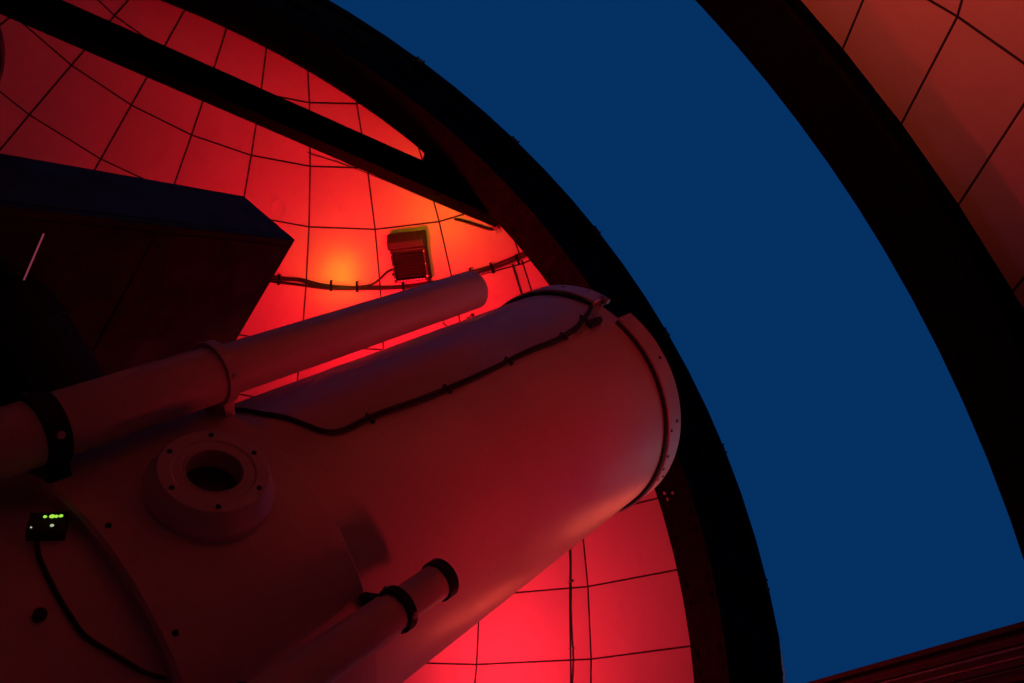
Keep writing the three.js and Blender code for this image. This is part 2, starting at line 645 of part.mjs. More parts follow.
// Secondary mirror's housing on four thin vanes
function buildSpider(holder, reach) {
  const [from, to] = [1400, 1490];
  const spider = joined([
    solid(drum(130, from - 20, to + 10, 24)),
    solid(box(-reach, reach, -3, 3, from, to)),
    solid(box(-3, 3, -reach, reach, from, to)),
  ]);
  piece("secondary_spider", spider, DARK, holder);
}

// A ring round a scope, with a foot that reaches to the tube or the sleeve
function scopeRing(centre, z, r, seatR, half) {
  const length = Math.hypot(centre.x, centre.y);
  const out = v3(centre.x / length, centre.y / length, 0);
  const across = v3(-out.y, out.x, 0);
  const at = (geometry) => solid(geometry.translate(centre.x, centre.y, 0));
  const foot = box(seatR - 12, length - r + 4, -0.6 * r, 0.6 * r, z - half, z + half);
  return at(pipe(r + 11, r + GAP, z - half, z + half, 24))
    .add(solid(moved(foot, v3(0, 0, 0), out, across, v3(0, 0, 1))))
    .subtract(at(drum(r + GAP, z - 2 * half, z + 2 * half, 24)))
    .subtract(solid(drum(seatR + GAP, z - 2 * half, z + 2 * half, seatR > TUBE.r ? 60 : 48)));
}

const GUIDE = { centre: v3(-438, 412, 0), r: 65, thickR: 72, front: 1196, step: 206, rear: -760 };

function buildGuide(holder) {
  const { centre, r, thickR, front, step, rear } = GUIDE;
  const shift = (geometry) => solid(geometry.translate(centre.x, centre.y, 0));
  piece("guide_scope", joined([
    shift(drum(r, step - 20, front, 24)),
    shift(drum(thickR, rear, step, 24)),
    shift(drum(r * 0.62, rear - 140, rear + 20, 16)),
  ]), TUBE_PAINT, holder);
  piece("guide_ring_front", scopeRing(centre, step - 20, thickR, SLEEVE.r, 14), TUBE_PAINT, holder);
  piece("guide_ring_rear", scopeRing(centre, -236, thickR, SLEEVE.r, 24), MOUNT, holder);
}

const FINDER = { centre: v3(-520, -320, 0), r: 43, rearR: 48, front: 337, ring: 187, rear: -420 };

function buildFinder(holder) {
  const { centre, r, rearR, front, ring, rear } = FINDER;
  const shift = (geometry) => solid(geometry.translate(centre.x, centre.y, 0));
  piece("finder_scope", joined([
    shift(drum(r, ring - 40, front, 24)),
    shift(drum(rearR, rear, ring - 30, 24)),
    shift(drum(r + 6, front - 22, front + 8, 24)),
    shift(drum(r * 0.6, rear - 110, rear + 20, 16)),
  ]), TUBE_PAINT, holder);
  piece("finder_ring_front", scopeRing(centre, ring, r, SLEEVE.r, 11), MOUNT, holder);
  piece("finder_ring_rear", scopeRing(centre, -220, rearR, SLEEVE.r, 18), MOUNT, holder);
}

// Cable held on the tube: angle round the tube and station along it
const TUBE_CABLE = [[116, 215], [122, 246], [134, 274], [147.5, 315], [156.8, 342], [162.1, 379], [162.9, 440],
  [163.2, 589], [164.3, 746], [164.4, 1026], [164.1, 1246], [164.3, 1370], [162.5, 1522], [158.3, 1650],
  [154.6, 1716]];

function buildTubeCable(holder) {
  const r = 9;
  const lane = new THREE.SplineCurve(TUBE_CABLE.map(([angle, z]) => new THREE.Vector2(angle, z)));
  const reach = TUBE.r + r + GAP;
  const path = new THREE.CatmullRomCurve3(lane.getPoints(60).map((p) =>
    v3(reach * Math.cos(rad(p.x)), reach * Math.sin(rad(p.x)), p.y)));
  piece("tube_cable", cable(path, r, 64), DARK, holder);
}

buildGround();
buildDoor();
buildTrack();
buildDome();
buildTies();
buildWallBox();
buildCableRun();
buildShutters();
buildPier();
buildHead();
buildDeclination();
buildTelescope();

export default group;
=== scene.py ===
import json
import math

import bmesh
import bpy
from mathutils import Matrix, Vector

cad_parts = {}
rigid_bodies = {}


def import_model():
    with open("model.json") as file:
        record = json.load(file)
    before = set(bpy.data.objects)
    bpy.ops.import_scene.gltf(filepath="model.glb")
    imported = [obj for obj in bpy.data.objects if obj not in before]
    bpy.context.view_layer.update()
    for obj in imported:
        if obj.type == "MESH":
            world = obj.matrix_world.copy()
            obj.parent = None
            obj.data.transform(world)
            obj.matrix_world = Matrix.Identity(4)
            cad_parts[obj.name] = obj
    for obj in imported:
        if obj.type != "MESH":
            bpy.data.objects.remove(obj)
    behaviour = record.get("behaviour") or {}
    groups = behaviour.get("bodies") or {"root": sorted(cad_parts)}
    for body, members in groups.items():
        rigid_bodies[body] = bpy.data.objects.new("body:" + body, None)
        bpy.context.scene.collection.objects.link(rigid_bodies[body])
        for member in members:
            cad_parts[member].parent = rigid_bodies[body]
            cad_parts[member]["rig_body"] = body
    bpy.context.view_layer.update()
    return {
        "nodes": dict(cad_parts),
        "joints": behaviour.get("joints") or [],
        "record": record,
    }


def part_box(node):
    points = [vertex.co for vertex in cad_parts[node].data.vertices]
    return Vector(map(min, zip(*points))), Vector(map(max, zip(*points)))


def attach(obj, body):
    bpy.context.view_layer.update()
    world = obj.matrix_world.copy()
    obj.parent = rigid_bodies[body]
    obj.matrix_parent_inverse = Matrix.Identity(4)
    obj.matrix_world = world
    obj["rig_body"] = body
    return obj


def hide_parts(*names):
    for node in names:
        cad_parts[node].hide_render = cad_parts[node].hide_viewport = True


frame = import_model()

bl_info = {
    "name": "Observatory dome",
    "version": (1, 0, 0),
    "blender": (4, 5, 0),
    "location": "View3D > Sidebar > Observatory",
    "description": "Dresses the turning dome, its round building and the telescope",
    "category": "Object",
}

NODES = frame["nodes"]
JOINTS = {j["name"]: j for j in frame["joints"]}

# Sizes in metres, from the frame where it gives them and otherwise as in the CAD: the dome
SPRING_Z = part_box("base_ring")[1].z
SHELL_R = 4.0
SHELL_T = 0.06
GORE_DEG = 12
ROWS_DEG = [0, 8, 14.4, 20.9, 27.3, 33.8, 40.2, 46.7, 53.1, 59.5, 66, 72.4, 78.9]
ARCH_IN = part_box("arch_east")[0].x
ARCH_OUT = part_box("arch_east")[1].x
ARCH_FOOT_R = 3.616
WEB_IN_R = 3.81
WEB_OUT_R = 3.782
RAIL_R = 3.955
SHUTTER_RIB_R = 4.1045
SHUTTER_RIVET_R = 4.1085
SHUTTER_EDGE = 1.184
SILL_FACE_Y = -3.9075

# The base ring, its track and the entrance
SKIRT_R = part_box("base_ring")[1].x
SKIRT_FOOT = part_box("base_ring")[0].z
TRACK_TOP = 2.6
FLANGE_R = 3.858
ROLLER_R = 3.95
BRUSH_R = 4.0885
DOOR_FACES_Y = (-4.02, -3.975)

# The mount and the telescope, along their own axes
HOUSING_REAR = -1.462
HEAD_REAR = -0.28
HEAD_FRONT = 0.99
SHAFT_R = 0.0605
TUBE_R = 0.464
TUBE_BORE = 0.45
TUBE_REAR = -0.64
TUBE_SIDES = 128
SLEEVE_R = 0.5
SLEEVE_REAR = -0.268
SLEEVE_FRONT = 0.2
COLLAR_R = 0.483
COLLAR_REAR = 1.733
COLLAR_FRONT = 1.828
STRAP_R = 0.4645
MIRROR_BACK = -0.6399
CELL_FRONT = -0.6403
FIT = 0.0003

# Directions and middles of the telescope's axes
UP = Vector((0, 0, 1))
POLAR_AT = Vector(JOINTS["polar_axis"]["pos_m"])
POLAR_DIR = Vector(JOINTS["polar_axis"]["axis"]).normalized()
TUBE_AT = Vector(JOINTS["declination_axis"]["pos_m"])
DEC_DIR = Vector(JOINTS["declination_axis"]["axis"]).normalized()
TUBE_Y = -DEC_DIR
TUBE_ALT = math.radians(45.5)
TUBE_AZ = math.radians(13.8)
TUBE_DIR = Vector((math.cos(TUBE_ALT) * math.sin(TUBE_AZ), -math.cos(TUBE_ALT) * math.cos(TUBE_AZ),
                   math.sin(TUBE_ALT)))
TUBE_X = TUBE_Y.cross(TUBE_DIR).normalized()
HEAD_ROLL = math.radians(43)

# Where the photograph was taken from
CAMERA_AT = Vector((-0.697 * SHELL_R, -0.159 * SHELL_R, SPRING_Z - 0.276 * SHELL_R))
CAMERA_FORWARD = Vector((0.7427, -0.3093, 0.5940))
CAMERA_UP = Vector((-0.4949, 0.3435, 0.7980))
CAMERA_LENS = 30.17


def colour(hex_code):
    """A colour in the linear values that shaders use."""
    parts = [int(hex_code[i:i + 2], 16) / 255 for i in (0, 2, 4)]
    return tuple(p / 12.92 if p <= 0.04045 else ((p + 0.055) / 1.055) ** 2.4 for p in parts) + (1.0,)


def scaled(tint, by):
    return tuple(min(1.0, c * by) for c in tint[:3]) + (1.0,)


def paint_property(name, description, hex_code):
    return bpy.props.FloatVectorProperty(
        name=name, description=description, subtype="COLOR", size=4, min=0, max=1, default=colour(hex_code))


def length_property(name, description, default, low, high):
    return bpy.props.FloatProperty(
        name=name, description=description, unit="LENGTH", default=default, min=low, max=high)


class DomeColours(bpy.types.PropertyGroup):
    """Colours of the building's finishes."""
    panel: paint_property("Dome panels", "Paint on the flat panels inside the dome", "cfc3b8")
    outside: paint_property("Outer skin", "Paint on the dome's outside and the shutters", "dededa")
    steel: paint_property("Steelwork", "Paint on the arches and braces", "070608")
    tube: paint_property("Telescope tube", "Paint on the tube and its scopes", "b9aeab")
    mount: paint_property("Mount", "Paint on the mount's castings and covers", "0a0a0c")
    render: paint_property("Wall render", "Paint on the plastered round wall", "d3cfc4")


class DomeSizes(bpy.types.PropertyGroup):
    """Sizes of the fine parts."""
    seam: length_property("Seam", "Width of the dark sealant between panels", 0.012, 0.002, 0.03)
    batten: length_property("Cover strip", "Width of the strips over the seams outside", 0.05, 0.02, 0.1)
    bolt: length_property("Bolt", "Radius of the steelwork's bolt heads", 0.013, 0.004, 0.03)


class Nodes:
    """A node tree under construction: each node is added, set and linked by one call."""

    def feed(self, socket, value):
        """Links an input to an output, or to several, or sets it to a constant."""
        for one in value if isinstance(value, list) else [value]:
            if isinstance(one, bpy.types.NodeSocket):
                self.tree.links.new(one, socket)
            else:
                socket.default_value = one

    def add(self, kind, inputs, **settings):
        node = self.tree.nodes.new(kind)
        for key, value in settings.items():
            setattr(node, key, value)
        for key, value in inputs.items():
            self.feed(node.inputs[key], value)
        return node.outputs

    def math(self, operation, a, b):
        return self.add("ShaderNodeMath", {0: a, 1: b}, operation=operation)[0]


class Shade(Nodes):
    """A material on Object coordinates."""

    def __init__(self, name):
        self.material = bpy.data.materials.new(name)
        self.material.use_nodes = True
        self.tree = self.material.node_tree
        self.shader = self.tree.nodes["Principled BSDF"]
        self.coords = self.tree.nodes.new("ShaderNodeTexCoord").outputs["Object"]

    def noise(self, scale, detail=4.0, rough=0.55, stretch=None):
        at = self.coords
        if stretch:
            at = self.add("ShaderNodeMapping", {"Vector": at, "Scale": stretch})["Vector"]
        values = {"Vector": at, "Scale": scale, "Detail": detail, "Roughness": rough}
        return self.add("ShaderNodeTexNoise", values)["Fac"]

    def cells(self, scale):
        return self.add("ShaderNodeTexVoronoi", {"Vector": self.coords, "Scale": scale})["Distance"]

    def ramp(self, value, *stops):
        """Levels or colours at positions, with even slopes between them."""
        node = self.tree.nodes.new("ShaderNodeValToRGB")
        for element, (at, level) in zip(node.color_ramp.elements, stops):
            element.position = at
            element.color = level if hasattr(level, "__len__") else (level, level, level, 1)
        self.feed(node.inputs["Fac"], value)
        return node.outputs["Color"]

    def patches(self, low, high, *noise):
        """0 where noise is below one level and 1 where it is above another."""
        return self.ramp(self.noise(*noise), (low, 0.0), (high, 1.0))

    def mix(self, share, a, b):
        return self.add("ShaderNodeMix", {0: share, 6: a, 7: b}, data_type="RGBA")[2]

    def over(self, base, mask, amount, tint):
        """A colour laid thinly over another one, where a mask says so."""
        return self.mix(self.math("MULTIPLY", mask, amount), base, tint)

    def beyond(self, limit, weights=(1, 1, 1)):
        """1 where a point lies farther than a limit from the dome's centre, its axes weighed."""
        value = self.coords
        for operation, by in (("SUBTRACT", (0, 0, SPRING_Z)), ("MULTIPLY", weights)):
            value = self.add("ShaderNodeVectorMath", {0: value, 1: by}, operation=operation)["Vector"]
        length = self.add("ShaderNodeVectorMath", {0: value}, operation="LENGTH")["Value"]
        return self.math("GREATER_THAN", length, limit)

    def bump(self, height, strength, distance, below=None):
        inputs = {"Strength": strength, "Distance": distance, "Height": height}
        if below is not None:
            inputs["Normal"] = below
        return self.add("ShaderNodeBump", inputs)["Normal"]

    def finish(self, base, rough, normal=None, metallic=0.0, specular=0.5):
        values = {"Base Color": base, "Roughness": rough, "Metallic": metallic,
                  "Specular IOR Level": specular}
        if normal is not None:
            values["Normal"] = normal
        for socket, value in values.items():
            self.feed(self.shader.inputs[socket], value)
        return self.material


# Finishes
def panel_paint(tint, outer):
    """Orange-peel paint on sheet panels, with faint runs, blotches and dust; weathered paint outside."""
    s = Shade("panel_paint")
    blotch = s.patches(0.38, 0.72, 0.9, 5, 0.6)
    grain = s.patches(0.35, 0.65, 140, 3, 0.7)
    runs = s.patches(0.55, 0.8, 2.2, 3, 0.5, (5, 5, 0.5))
    base = s.mix(blotch, scaled(tint, 0.84), tint)
    base = s.over(base, runs, 0.28, scaled(tint, 0.6))
    base = s.over(base, grain, 0.14, scaled(tint, 0.55))
    base = s.mix(s.beyond(SHELL_R + SHELL_T / 4), base, s.over(outer, runs, 0.5, scaled(outer, 0.8)))
    normal = s.bump(s.noise(4, 2, 0.5), 0.25, 0.012, s.bump(s.noise(330, 2, 0.5), 0.35, 0.0016))
    return s.finish(base, s.ramp(s.noise(7, 4), (0.3, 0.52), (0.75, 0.74)), normal)


def steel_paint(tint, outer):
    """Dark paint over rolled steel, with chips down to primer; the skirt outside has the skin's paint."""
    s = Shade("steel_paint")
    dust = s.patches(0.35, 0.8, 1.6, 4)
    base = s.over(tint, dust, 0.4, scaled(tint, 1.9))
    base = s.over(base, s.patches(0.62, 0.68, 11, 6, 0.7), 0.4, colour("1e1715"))
    base = s.mix(s.beyond(SHELL_R + SHELL_T, (1, 1, 0)), base, s.mix(dust, outer, scaled(outer, 0.85)))
    normal = s.bump(s.noise(9, 3), 0.3, 0.004, s.bump(s.noise(60, 3, 0.5, (1, 1, 6)), 0.3, 0.0012))
    return s.finish(base, s.ramp(s.noise(14, 4), (0.3, 0.5), (0.7, 0.72)), normal, specular=0.04)


def tube_paint(name, tint):
    """Satin instrument paint with handling marks and a fine orange peel."""
    s = Shade(name)
    base = s.over(tint, s.patches(0.4, 0.75, 3.2, 5, 0.6), 0.5, scaled(tint, 0.78))
    base = s.over(base, s.patches(0.66, 0.72, 85, 2, 0.6), 0.35, scaled(tint, 0.4))
    normal = s.bump(s.noise(210, 2, 0.5), 0.22, 0.0012)
    return s.finish(base, s.ramp(s.noise(5, 5), (0.3, 0.34), (0.75, 0.56)), normal, 0.1)


def mount_paint(tint):
    """Black textured powder coat."""
    s = Shade("mount_paint")
    base = s.over(tint, s.patches(0.4, 0.8, 2.4, 5), 0.35, scaled(tint, 2.6))
    base = s.over(base, s.patches(0.64, 0.7, 18, 6, 0.75), 0.4, colour("3d3c40"))
    normal = s.bump(s.cells(420), 0.3, 0.0012)
    return s.finish(base, s.ramp(s.noise(8, 4), (0.3, 0.5), (0.7, 0.68)), normal, specular=0.2)


def wall_render(tint):
    """Painted plaster with trowel marks, dirt rising from the ground and weather streaks."""
    s = Shade("wall_render")
    height = s.add("ShaderNodeSeparateXYZ", {0: s.coords})["Z"]
    splash = s.ramp(s.math("ADD", height, s.math("MULTIPLY", s.noise(6, 4), 0.35)), (0.2, 1.0), (0.75, 0.0))
    base = s.mix(s.patches(0.35, 0.75, 1.1, 6, 0.65), scaled(tint, 0.88), tint)
    base = s.over(base, s.patches(0.56, 0.82, 3.0, 4, 0.6, (4, 4, 0.35)), 0.3, scaled(tint, 0.62))
    base = s.over(base, splash, 0.45, colour("8d8577"))
    normal = s.bump(s.noise(5, 3), 0.3, 0.015, s.bump(s.noise(95, 4, 0.7), 0.5, 0.004))
    return s.finish(base, 0.88, normal)


def concrete_finish(tint):
    """Power-floated concrete with pores and stains."""
    s = Shade("concrete_finish")
    base = s.mix(s.patches(0.3, 0.8, 1.7, 6, 0.6), scaled(tint, 0.78), scaled(tint, 1.12))
    base = s.over(base, s.ramp(s.cells(60), (0.0, 1.0), (0.14, 0.0)), 0.5, scaled(tint, 0.5))
    normal = s.bump(s.noise(55, 5, 0.7), 0.4, 0.003)
    return s.finish(base, s.ramp(s.noise(6, 4), (0.3, 0.7), (0.7, 0.9)), normal)


def rubber_finish(name, tint):
    """Matt black rubber or cable jacket, with patches of dust."""
    s = Shade(name)
    base = s.over(tint, s.patches(0.45, 0.8, 24, 4), 0.3, scaled(tint, 3.0))
    return s.finish(base, 0.62, s.bump(s.noise(260, 2), 0.25, 0.0008))


def bare_steel():
    """Zinc-plated fasteners and rails."""
    s = Shade("bare_steel")
    tone = s.ramp(s.noise(35, 5), (0.3, (0.30, 0.30, 0.31, 1)), (0.75, (0.52, 0.51, 0.50, 1)))
    rough = s.ramp(s.noise(50, 3), (0.3, 0.28), (0.7, 0.5))
    return s.finish(tone, rough, s.bump(s.noise(150, 3), 0.2, 0.0008), 0.9)


def mirror_finish():
    """Aluminised glass with a little dust."""
    s = Shade("mirror_coat")
    base = s.over((0.86, 0.88, 0.9, 1), s.patches(0.5, 0.8, 60, 5, 0.7), 0.15, (0.5, 0.5, 0.5, 1))
    return s.finish(base, s.ramp(s.noise(60, 5, 0.7), (0.5, 0.02), (0.8, 0.16)), metallic=1.0)


def lamp_finish(name, tint, power):
    """A small light behind a coloured lens, or a glowing strip that is a painted highlight."""
    s = Shade(name)
    s.shader.inputs["Emission Color"].default_value = tint
    s.shader.inputs["Emission Strength"].default_value = power
    return s.finish(s.ramp(s.noise(40), (0.3, tint), (0.8, scaled(tint, 0.7))), 0.4)


FINISH = {}


def make_finishes(tints):
    FINISH.update({
        "panel": panel_paint(tints.panel, tints.outside),
        "outside": tube_paint("outer_paint", tints.outside),
        "steel": steel_paint(tints.steel, tints.outside),
        "tube": tube_paint("tube_paint", tints.tube),
        "mount": mount_paint(tints.mount),
        "render": wall_render(tints.render),
        "concrete": concrete_finish(colour("a09b92")),
        "sealant": rubber_finish("sealant", colour("1c1614")),
        "cable": rubber_finish("cable_jacket", colour("101011")),
        "zinc": bare_steel(),
        "mirror": mirror_finish(),
        "box": rubber_finish("box_plastic", colour("2a1c1a")),
        "conduit": rubber_finish("conduit_grey", colour("8b8583")),
        "led": lamp_finish("green_led", (0.30, 0.62, 0.05, 1), 1.3),
        # A glowing pink line for the mount head: a painted highlight, not a lamp
        "painted_highlight_line": lamp_finish("painted_highlight_line", (0.3, 0.05, 0.09, 1), 0.6),
        "white_led": lamp_finish("white_led", (0.42, 0.5, 0.3, 1), 1.0),
    })


# Local frames: an origin with three directions
def frame_at(origin, x, y, z):
    m = Matrix((x, y, z)).transposed().to_4x4()
    m.translation = origin
    return m


def frame_along(a, b):
    """A frame whose z runs from a to b."""
    z = (Vector(b) - Vector(a)).normalized()
    side = Vector((1, 0, 0)) if abs(z.dot(UP)) > 0.99 else UP
    x = side.cross(z).normalized()
    return frame_at(Vector(a), x, z.cross(x), z)


def shifted(m, x, y, z, turn=0.0, axis="Z"):
    """A frame moved along its own axes, then turned about one of them by degrees."""
    m = m @ Matrix.Translation((x, y, z))
    return m @ Matrix.Rotation(math.radians(turn), 4, axis) if turn else m


def smooth_path(points, steps=6):
    """A smooth line through points."""
    points = [Vector(p) for p in points]
    line = []
    for i in range(len(points) - 1):
        before = points[max(i - 1, 0)]
        a, b = points[i], points[i + 1]
        after = points[min(i + 2, len(points) - 1)]
        for k in range(steps):
            t = k / steps
            line.append(0.5 * (2 * a + (b - before) * t + (2 * before - 5 * a + 4 * b - after) * t * t
                               + (3 * a - before - 3 * b + after) * t ** 3))
    return line + [points[-1]]


def round_out(angle):
    """Level direction at an angle from the slit towards +X."""
    a = math.radians(angle)
    return Vector((math.sin(a), -math.cos(a), 0))


PLAIN = Matrix.Identity(4)
TUBE = frame_at(TUBE_AT, TUBE_X, TUBE_Y, TUBE_DIR)
POLE_X = UP.cross(POLAR_DIR).normalized()
POLE_Y = POLAR_DIR.cross(POLE_X)
POLE = frame_at(POLAR_AT, POLE_X, POLE_Y, POLAR_DIR)
HEAD_X = POLE_X * math.cos(HEAD_ROLL) - POLE_Y * math.sin(HEAD_ROLL)
HEAD = frame_at(POLAR_AT, HEAD_X, POLAR_DIR.cross(HEAD_X), POLAR_DIR)
DECLINATION = frame_at(POLAR_AT, TUBE_X, TUBE_DIR, DEC_DIR)
GUIDE = shifted(TUBE, -0.438, 0.412, 0)
FINDER = shifted(TUBE, -0.52, -0.32, 0)


def spoke(m, degrees):
    """Direction at an angle round a frame's z."""
    a = math.radians(degrees)
    return m.col[0].xyz * math.cos(a) + m.col[1].xyz * math.sin(a)


def on_tube(angle, z, r=TUBE_R):
    """Frame at an angle round the tube and a station along it: x round it, y along it, z outwards."""
    out = spoke(TUBE, angle)
    return frame_at(TUBE_AT + TUBE_DIR * z + out * r, TUBE_DIR.cross(out), TUBE_DIR, out)


def outward(frames):
    """Places for fasteners at the origins of frames, along their z."""
    return [(m.translation, m.col[2].xyz) for m in frames]


def round_tube(points, steps=6):
    """A smooth line through angles round the tube and stations along it."""
    return smooth_path([(angle, z, 0) for angle, z in points], steps)


def dome_point(az, lat, r=SHELL_R):
    """Point of the dome at an azimuth from the slit towards +X, a latitude and a radius."""
    flat = r * math.cos(math.radians(lat))
    a = math.radians(az)
    return Vector((flat * math.sin(a), -flat * math.cos(a), SPRING_Z + r * math.sin(math.radians(lat))))


def on_shell(az, lat, lift=0.0):
    """Point on the flat panels' inner face, lifted into the room, and the face's direction into the room."""
    gore = round(az / GORE_DEG) * GORE_DEG
    row = max(i for i, low in enumerate(ROWS_DEG[:-1]) if low <= lat)
    a = dome_point(gore - GORE_DEG / 2, ROWS_DEG[row])
    b = dome_point(gore + GORE_DEG / 2, ROWS_DEG[row])
    c = dome_point(gore - GORE_DEG / 2, ROWS_DEG[row + 1])
    centre = Vector((0, 0, SPRING_Z))
    inward = (b - a).cross(c - a).normalized()
    if inward.dot(centre - a) < 0:
        inward = -inward
    ray = dome_point(az, lat, 1) - centre
    return centre + ray * (inward.dot(a - centre) / inward.dot(ray)) + inward * lift, inward


def shell_frame(az, lat):
    """Frame on the panels' inner face: y up the panel, z into the room."""
    at, inward = on_shell(az, lat)
    up = (on_shell(az, lat + 0.5)[0] - at).normalized()
    return frame_at(at, up.cross(inward), up, inward)


def panel_frame(az, row):
    """Frame in the middle of a panel's inner face: x level, y up the panel, z into the room."""
    a, b = (dome_point(az + side * GORE_DEG / 2, ROWS_DEG[row]) for side in (-1, 1))
    c, d = (dome_point(az + side * GORE_DEG / 2, ROWS_DEG[row + 1]) for side in (1, -1))
    x = (a - b).normalized()
    y = (c + d - a - b).normalized()
    z = x.cross(y).normalized()
    return frame_at((a + b + c + d) / 4, x, z.cross(x), z)


def arch_point(x, deg, r):
    """Point beside the slit at an angle from its foot, over the top."""
    a = math.radians(deg)
    return Vector((x, -r * math.cos(a), SPRING_Z + r * math.sin(a)))


def arch_frame(x, deg, r):
    """x across the slit, y along the arch, z outwards."""
    a = math.radians(deg)
    out = Vector((0, -math.cos(a), math.sin(a)))
    along = Vector((0, math.sin(a), math.cos(a)))
    return frame_at(arch_point(x, deg, r), along.cross(out), along, out)


def placed(name, mesh, body, replaces=(), bevel=0.0, angle=40):
    """Puts a mesh in the scene as a piece on a body, its edges eased if a width is given."""
    piece = bpy.data.objects.new(name, mesh)
    bpy.context.scene.collection.objects.link(piece)
    if bevel:
        eased = piece.modifiers.new("edges", "BEVEL")
        eased.width = bevel
        eased.segments = 2
        eased.limit_method = "ANGLE"
        eased.angle_limit = math.radians(angle)
    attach(piece, body)
    if replaces:
        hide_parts(*replaces)


class Form:
    """A mesh that grows by closed pieces, then becomes one object on one body."""

    def __init__(self):
        self.bm = bmesh.new()
        self.slots = []

    def paint(self, faces, finish, smooth=()):
        if finish not in self.slots:
            self.slots.append(finish)
        for face in faces:
            face.material_index = self.slots.index(finish)
        for face in smooth:
            face.smooth = True

    def solid(self, m, points, faces, finish):
        verts = [self.bm.verts.new(m @ Vector(p)) for p in points]
        self.paint([self.bm.faces.new([verts[i] for i in f]) for f in faces], finish)

    def block(self, m, x, y, z, finish):
        """A box between pairs of limits."""
        points = [(a, b, c) for c in z for b in y for a in x]
        faces = [(0, 2, 3, 1), (4, 5, 7, 6), (0, 1, 5, 4), (2, 6, 7, 3), (0, 4, 6, 2), (1, 3, 7, 5)]
        self.solid(m, points, faces, finish)

    def prism(self, m, outline, z0, z1, finish):
        n = len(outline)
        points = [(x, y, z0) for x, y in outline] + [(x, y, z1) for x, y in outline]
        faces = [tuple(range(n - 1, -1, -1)), tuple(range(n, 2 * n))]
        faces += [(i, (i + 1) % n, n + (i + 1) % n, n + i) for i in range(n)]
        self.solid(m, points, faces, finish)

    def turn(self, m, profile, finish, sides=32, closed=False):
        """A profile of (radius, height) turned about z, on the axis at both ends, or closed on itself."""
        rings = []
        for r, z in profile:
            angles = [2 * math.pi * k / sides for k in range(sides)] if r > 1e-6 else [0]
            spots = [m @ Vector((r * math.cos(a), r * math.sin(a), z)) for a in angles]
            rings.append([self.bm.verts.new(p) for p in spots])
        made = []
        for a, b in list(zip(rings, rings[1:])) + ([(rings[-1], rings[0])] if closed else []):
            for k in range(sides):
                j = (k + 1) % sides
                ring = [a[k % len(a)], a[j % len(a)], b[j % len(b)], b[k % len(b)]]
                ring = [v for i, v in enumerate(ring) if v not in ring[:i]]
                if len(ring) > 2:
                    made.append(self.bm.faces.new(ring))
        self.paint(made, finish, made)

    def ring(self, m, outer, inner, z0, z1, finish, sides=64, chamfer=0.0):
        """A hollow ring about z, its outer edges chamfered if a size is given."""
        c = chamfer
        profile = [(inner, z0), (outer - c, z0), (outer, z0 + c), (outer, z1 - c), (outer - c, z1),
                   (inner, z1)]
        if not c:
            profile = [(inner, z0), (outer, z0), (outer, z1), (inner, z1)]
        self.turn(m, profile, finish, sides, closed=True)

    def stud(self, m, r, height, finish, sides=24, top=None, shoulder=None, start=0):
        """A round stud on a surface, with a narrower top above its shoulder if they are given."""
        edge = [(r, height)] if top is None else [(r, shoulder), (top, height)]
        self.turn(m, [(0, start), (r, start), *edge, (0, height)], finish, sides)

    def rod(self, a, b, r, finish, sides=12):
        self.stud(frame_along(a, b), r, (Vector(b) - Vector(a)).length, finish, sides)

    def skin(self, rings, finish):
        """A row of equal outlines, skinned and closed at both ends."""
        rings = [[self.bm.verts.new(p) for p in ring] for ring in rings]
        made = [self.bm.faces.new(rings[0]), self.bm.faces.new(rings[-1])]
        for a, b in zip(rings, rings[1:]):
            for k in range(len(a)):
                j = (k + 1) % len(a)
                made.append(self.bm.faces.new([a[k], a[j], b[j], b[k]]))
        self.paint(made, finish, made[2:])

    def arc(self, m, profile, start, end, finish, steps=TUBE_SIDES):
        """A closed profile of (radius, height) turned about z from one angle to another."""
        angles = [math.radians(start + (end - start) * i / steps) for i in range(steps + 1)]
        self.skin([[m @ Vector((r * math.cos(a), r * math.sin(a), z)) for r, z in profile] for a in angles],
                  finish)

    def band(self, places, width, thick, finish):
        """A flat strip through frames that lie on a surface, z outwards."""
        rings = []
        for i, m in enumerate(places):
            ahead = places[min(i + 1, len(places) - 1)].translation - places[max(i - 1, 0)].translation
            out = m.col[2].xyz
            side = ahead.cross(out).normalized() * width / 2
            p = m.translation
            rings.append([p - side, p + side, p + side + out * thick, p - side + out * thick])
        self.skin(rings, finish)

    def tube(self, points, r, finish, sides=8):
        """A round cable through points."""
        rings = []
        side = None
        for i, p in enumerate(points):
            ahead = Vector(points[min(i + 1, len(points) - 1)]) - Vector(points[max(i - 1, 0)])
            ahead.normalize()
            side = ahead.orthogonal() if side is None else side - ahead * side.dot(ahead)
            side.normalize()
            other = ahead.cross(side)
            turns = [2 * math.pi * k / sides for k in range(sides)]
            rings.append([Vector(p) + r * (math.cos(t) * side + math.sin(t) * other) for t in turns])
        self.skin(rings, finish)

    def make(self, name, body, slot, bevel=0.0, replaces=()):
        bmesh.ops.recalc_face_normals(self.bm, faces=self.bm.faces)
        mesh = bpy.data.meshes.new(name)
        self.bm.to_mesh(mesh)
        self.bm.free()
        mesh.set_sharp_from_angle(angle=math.radians(35))
        for finish in self.slots:
            mesh.materials.append(FINISH[finish])
        placed(name, mesh, body, replaces, bevel)


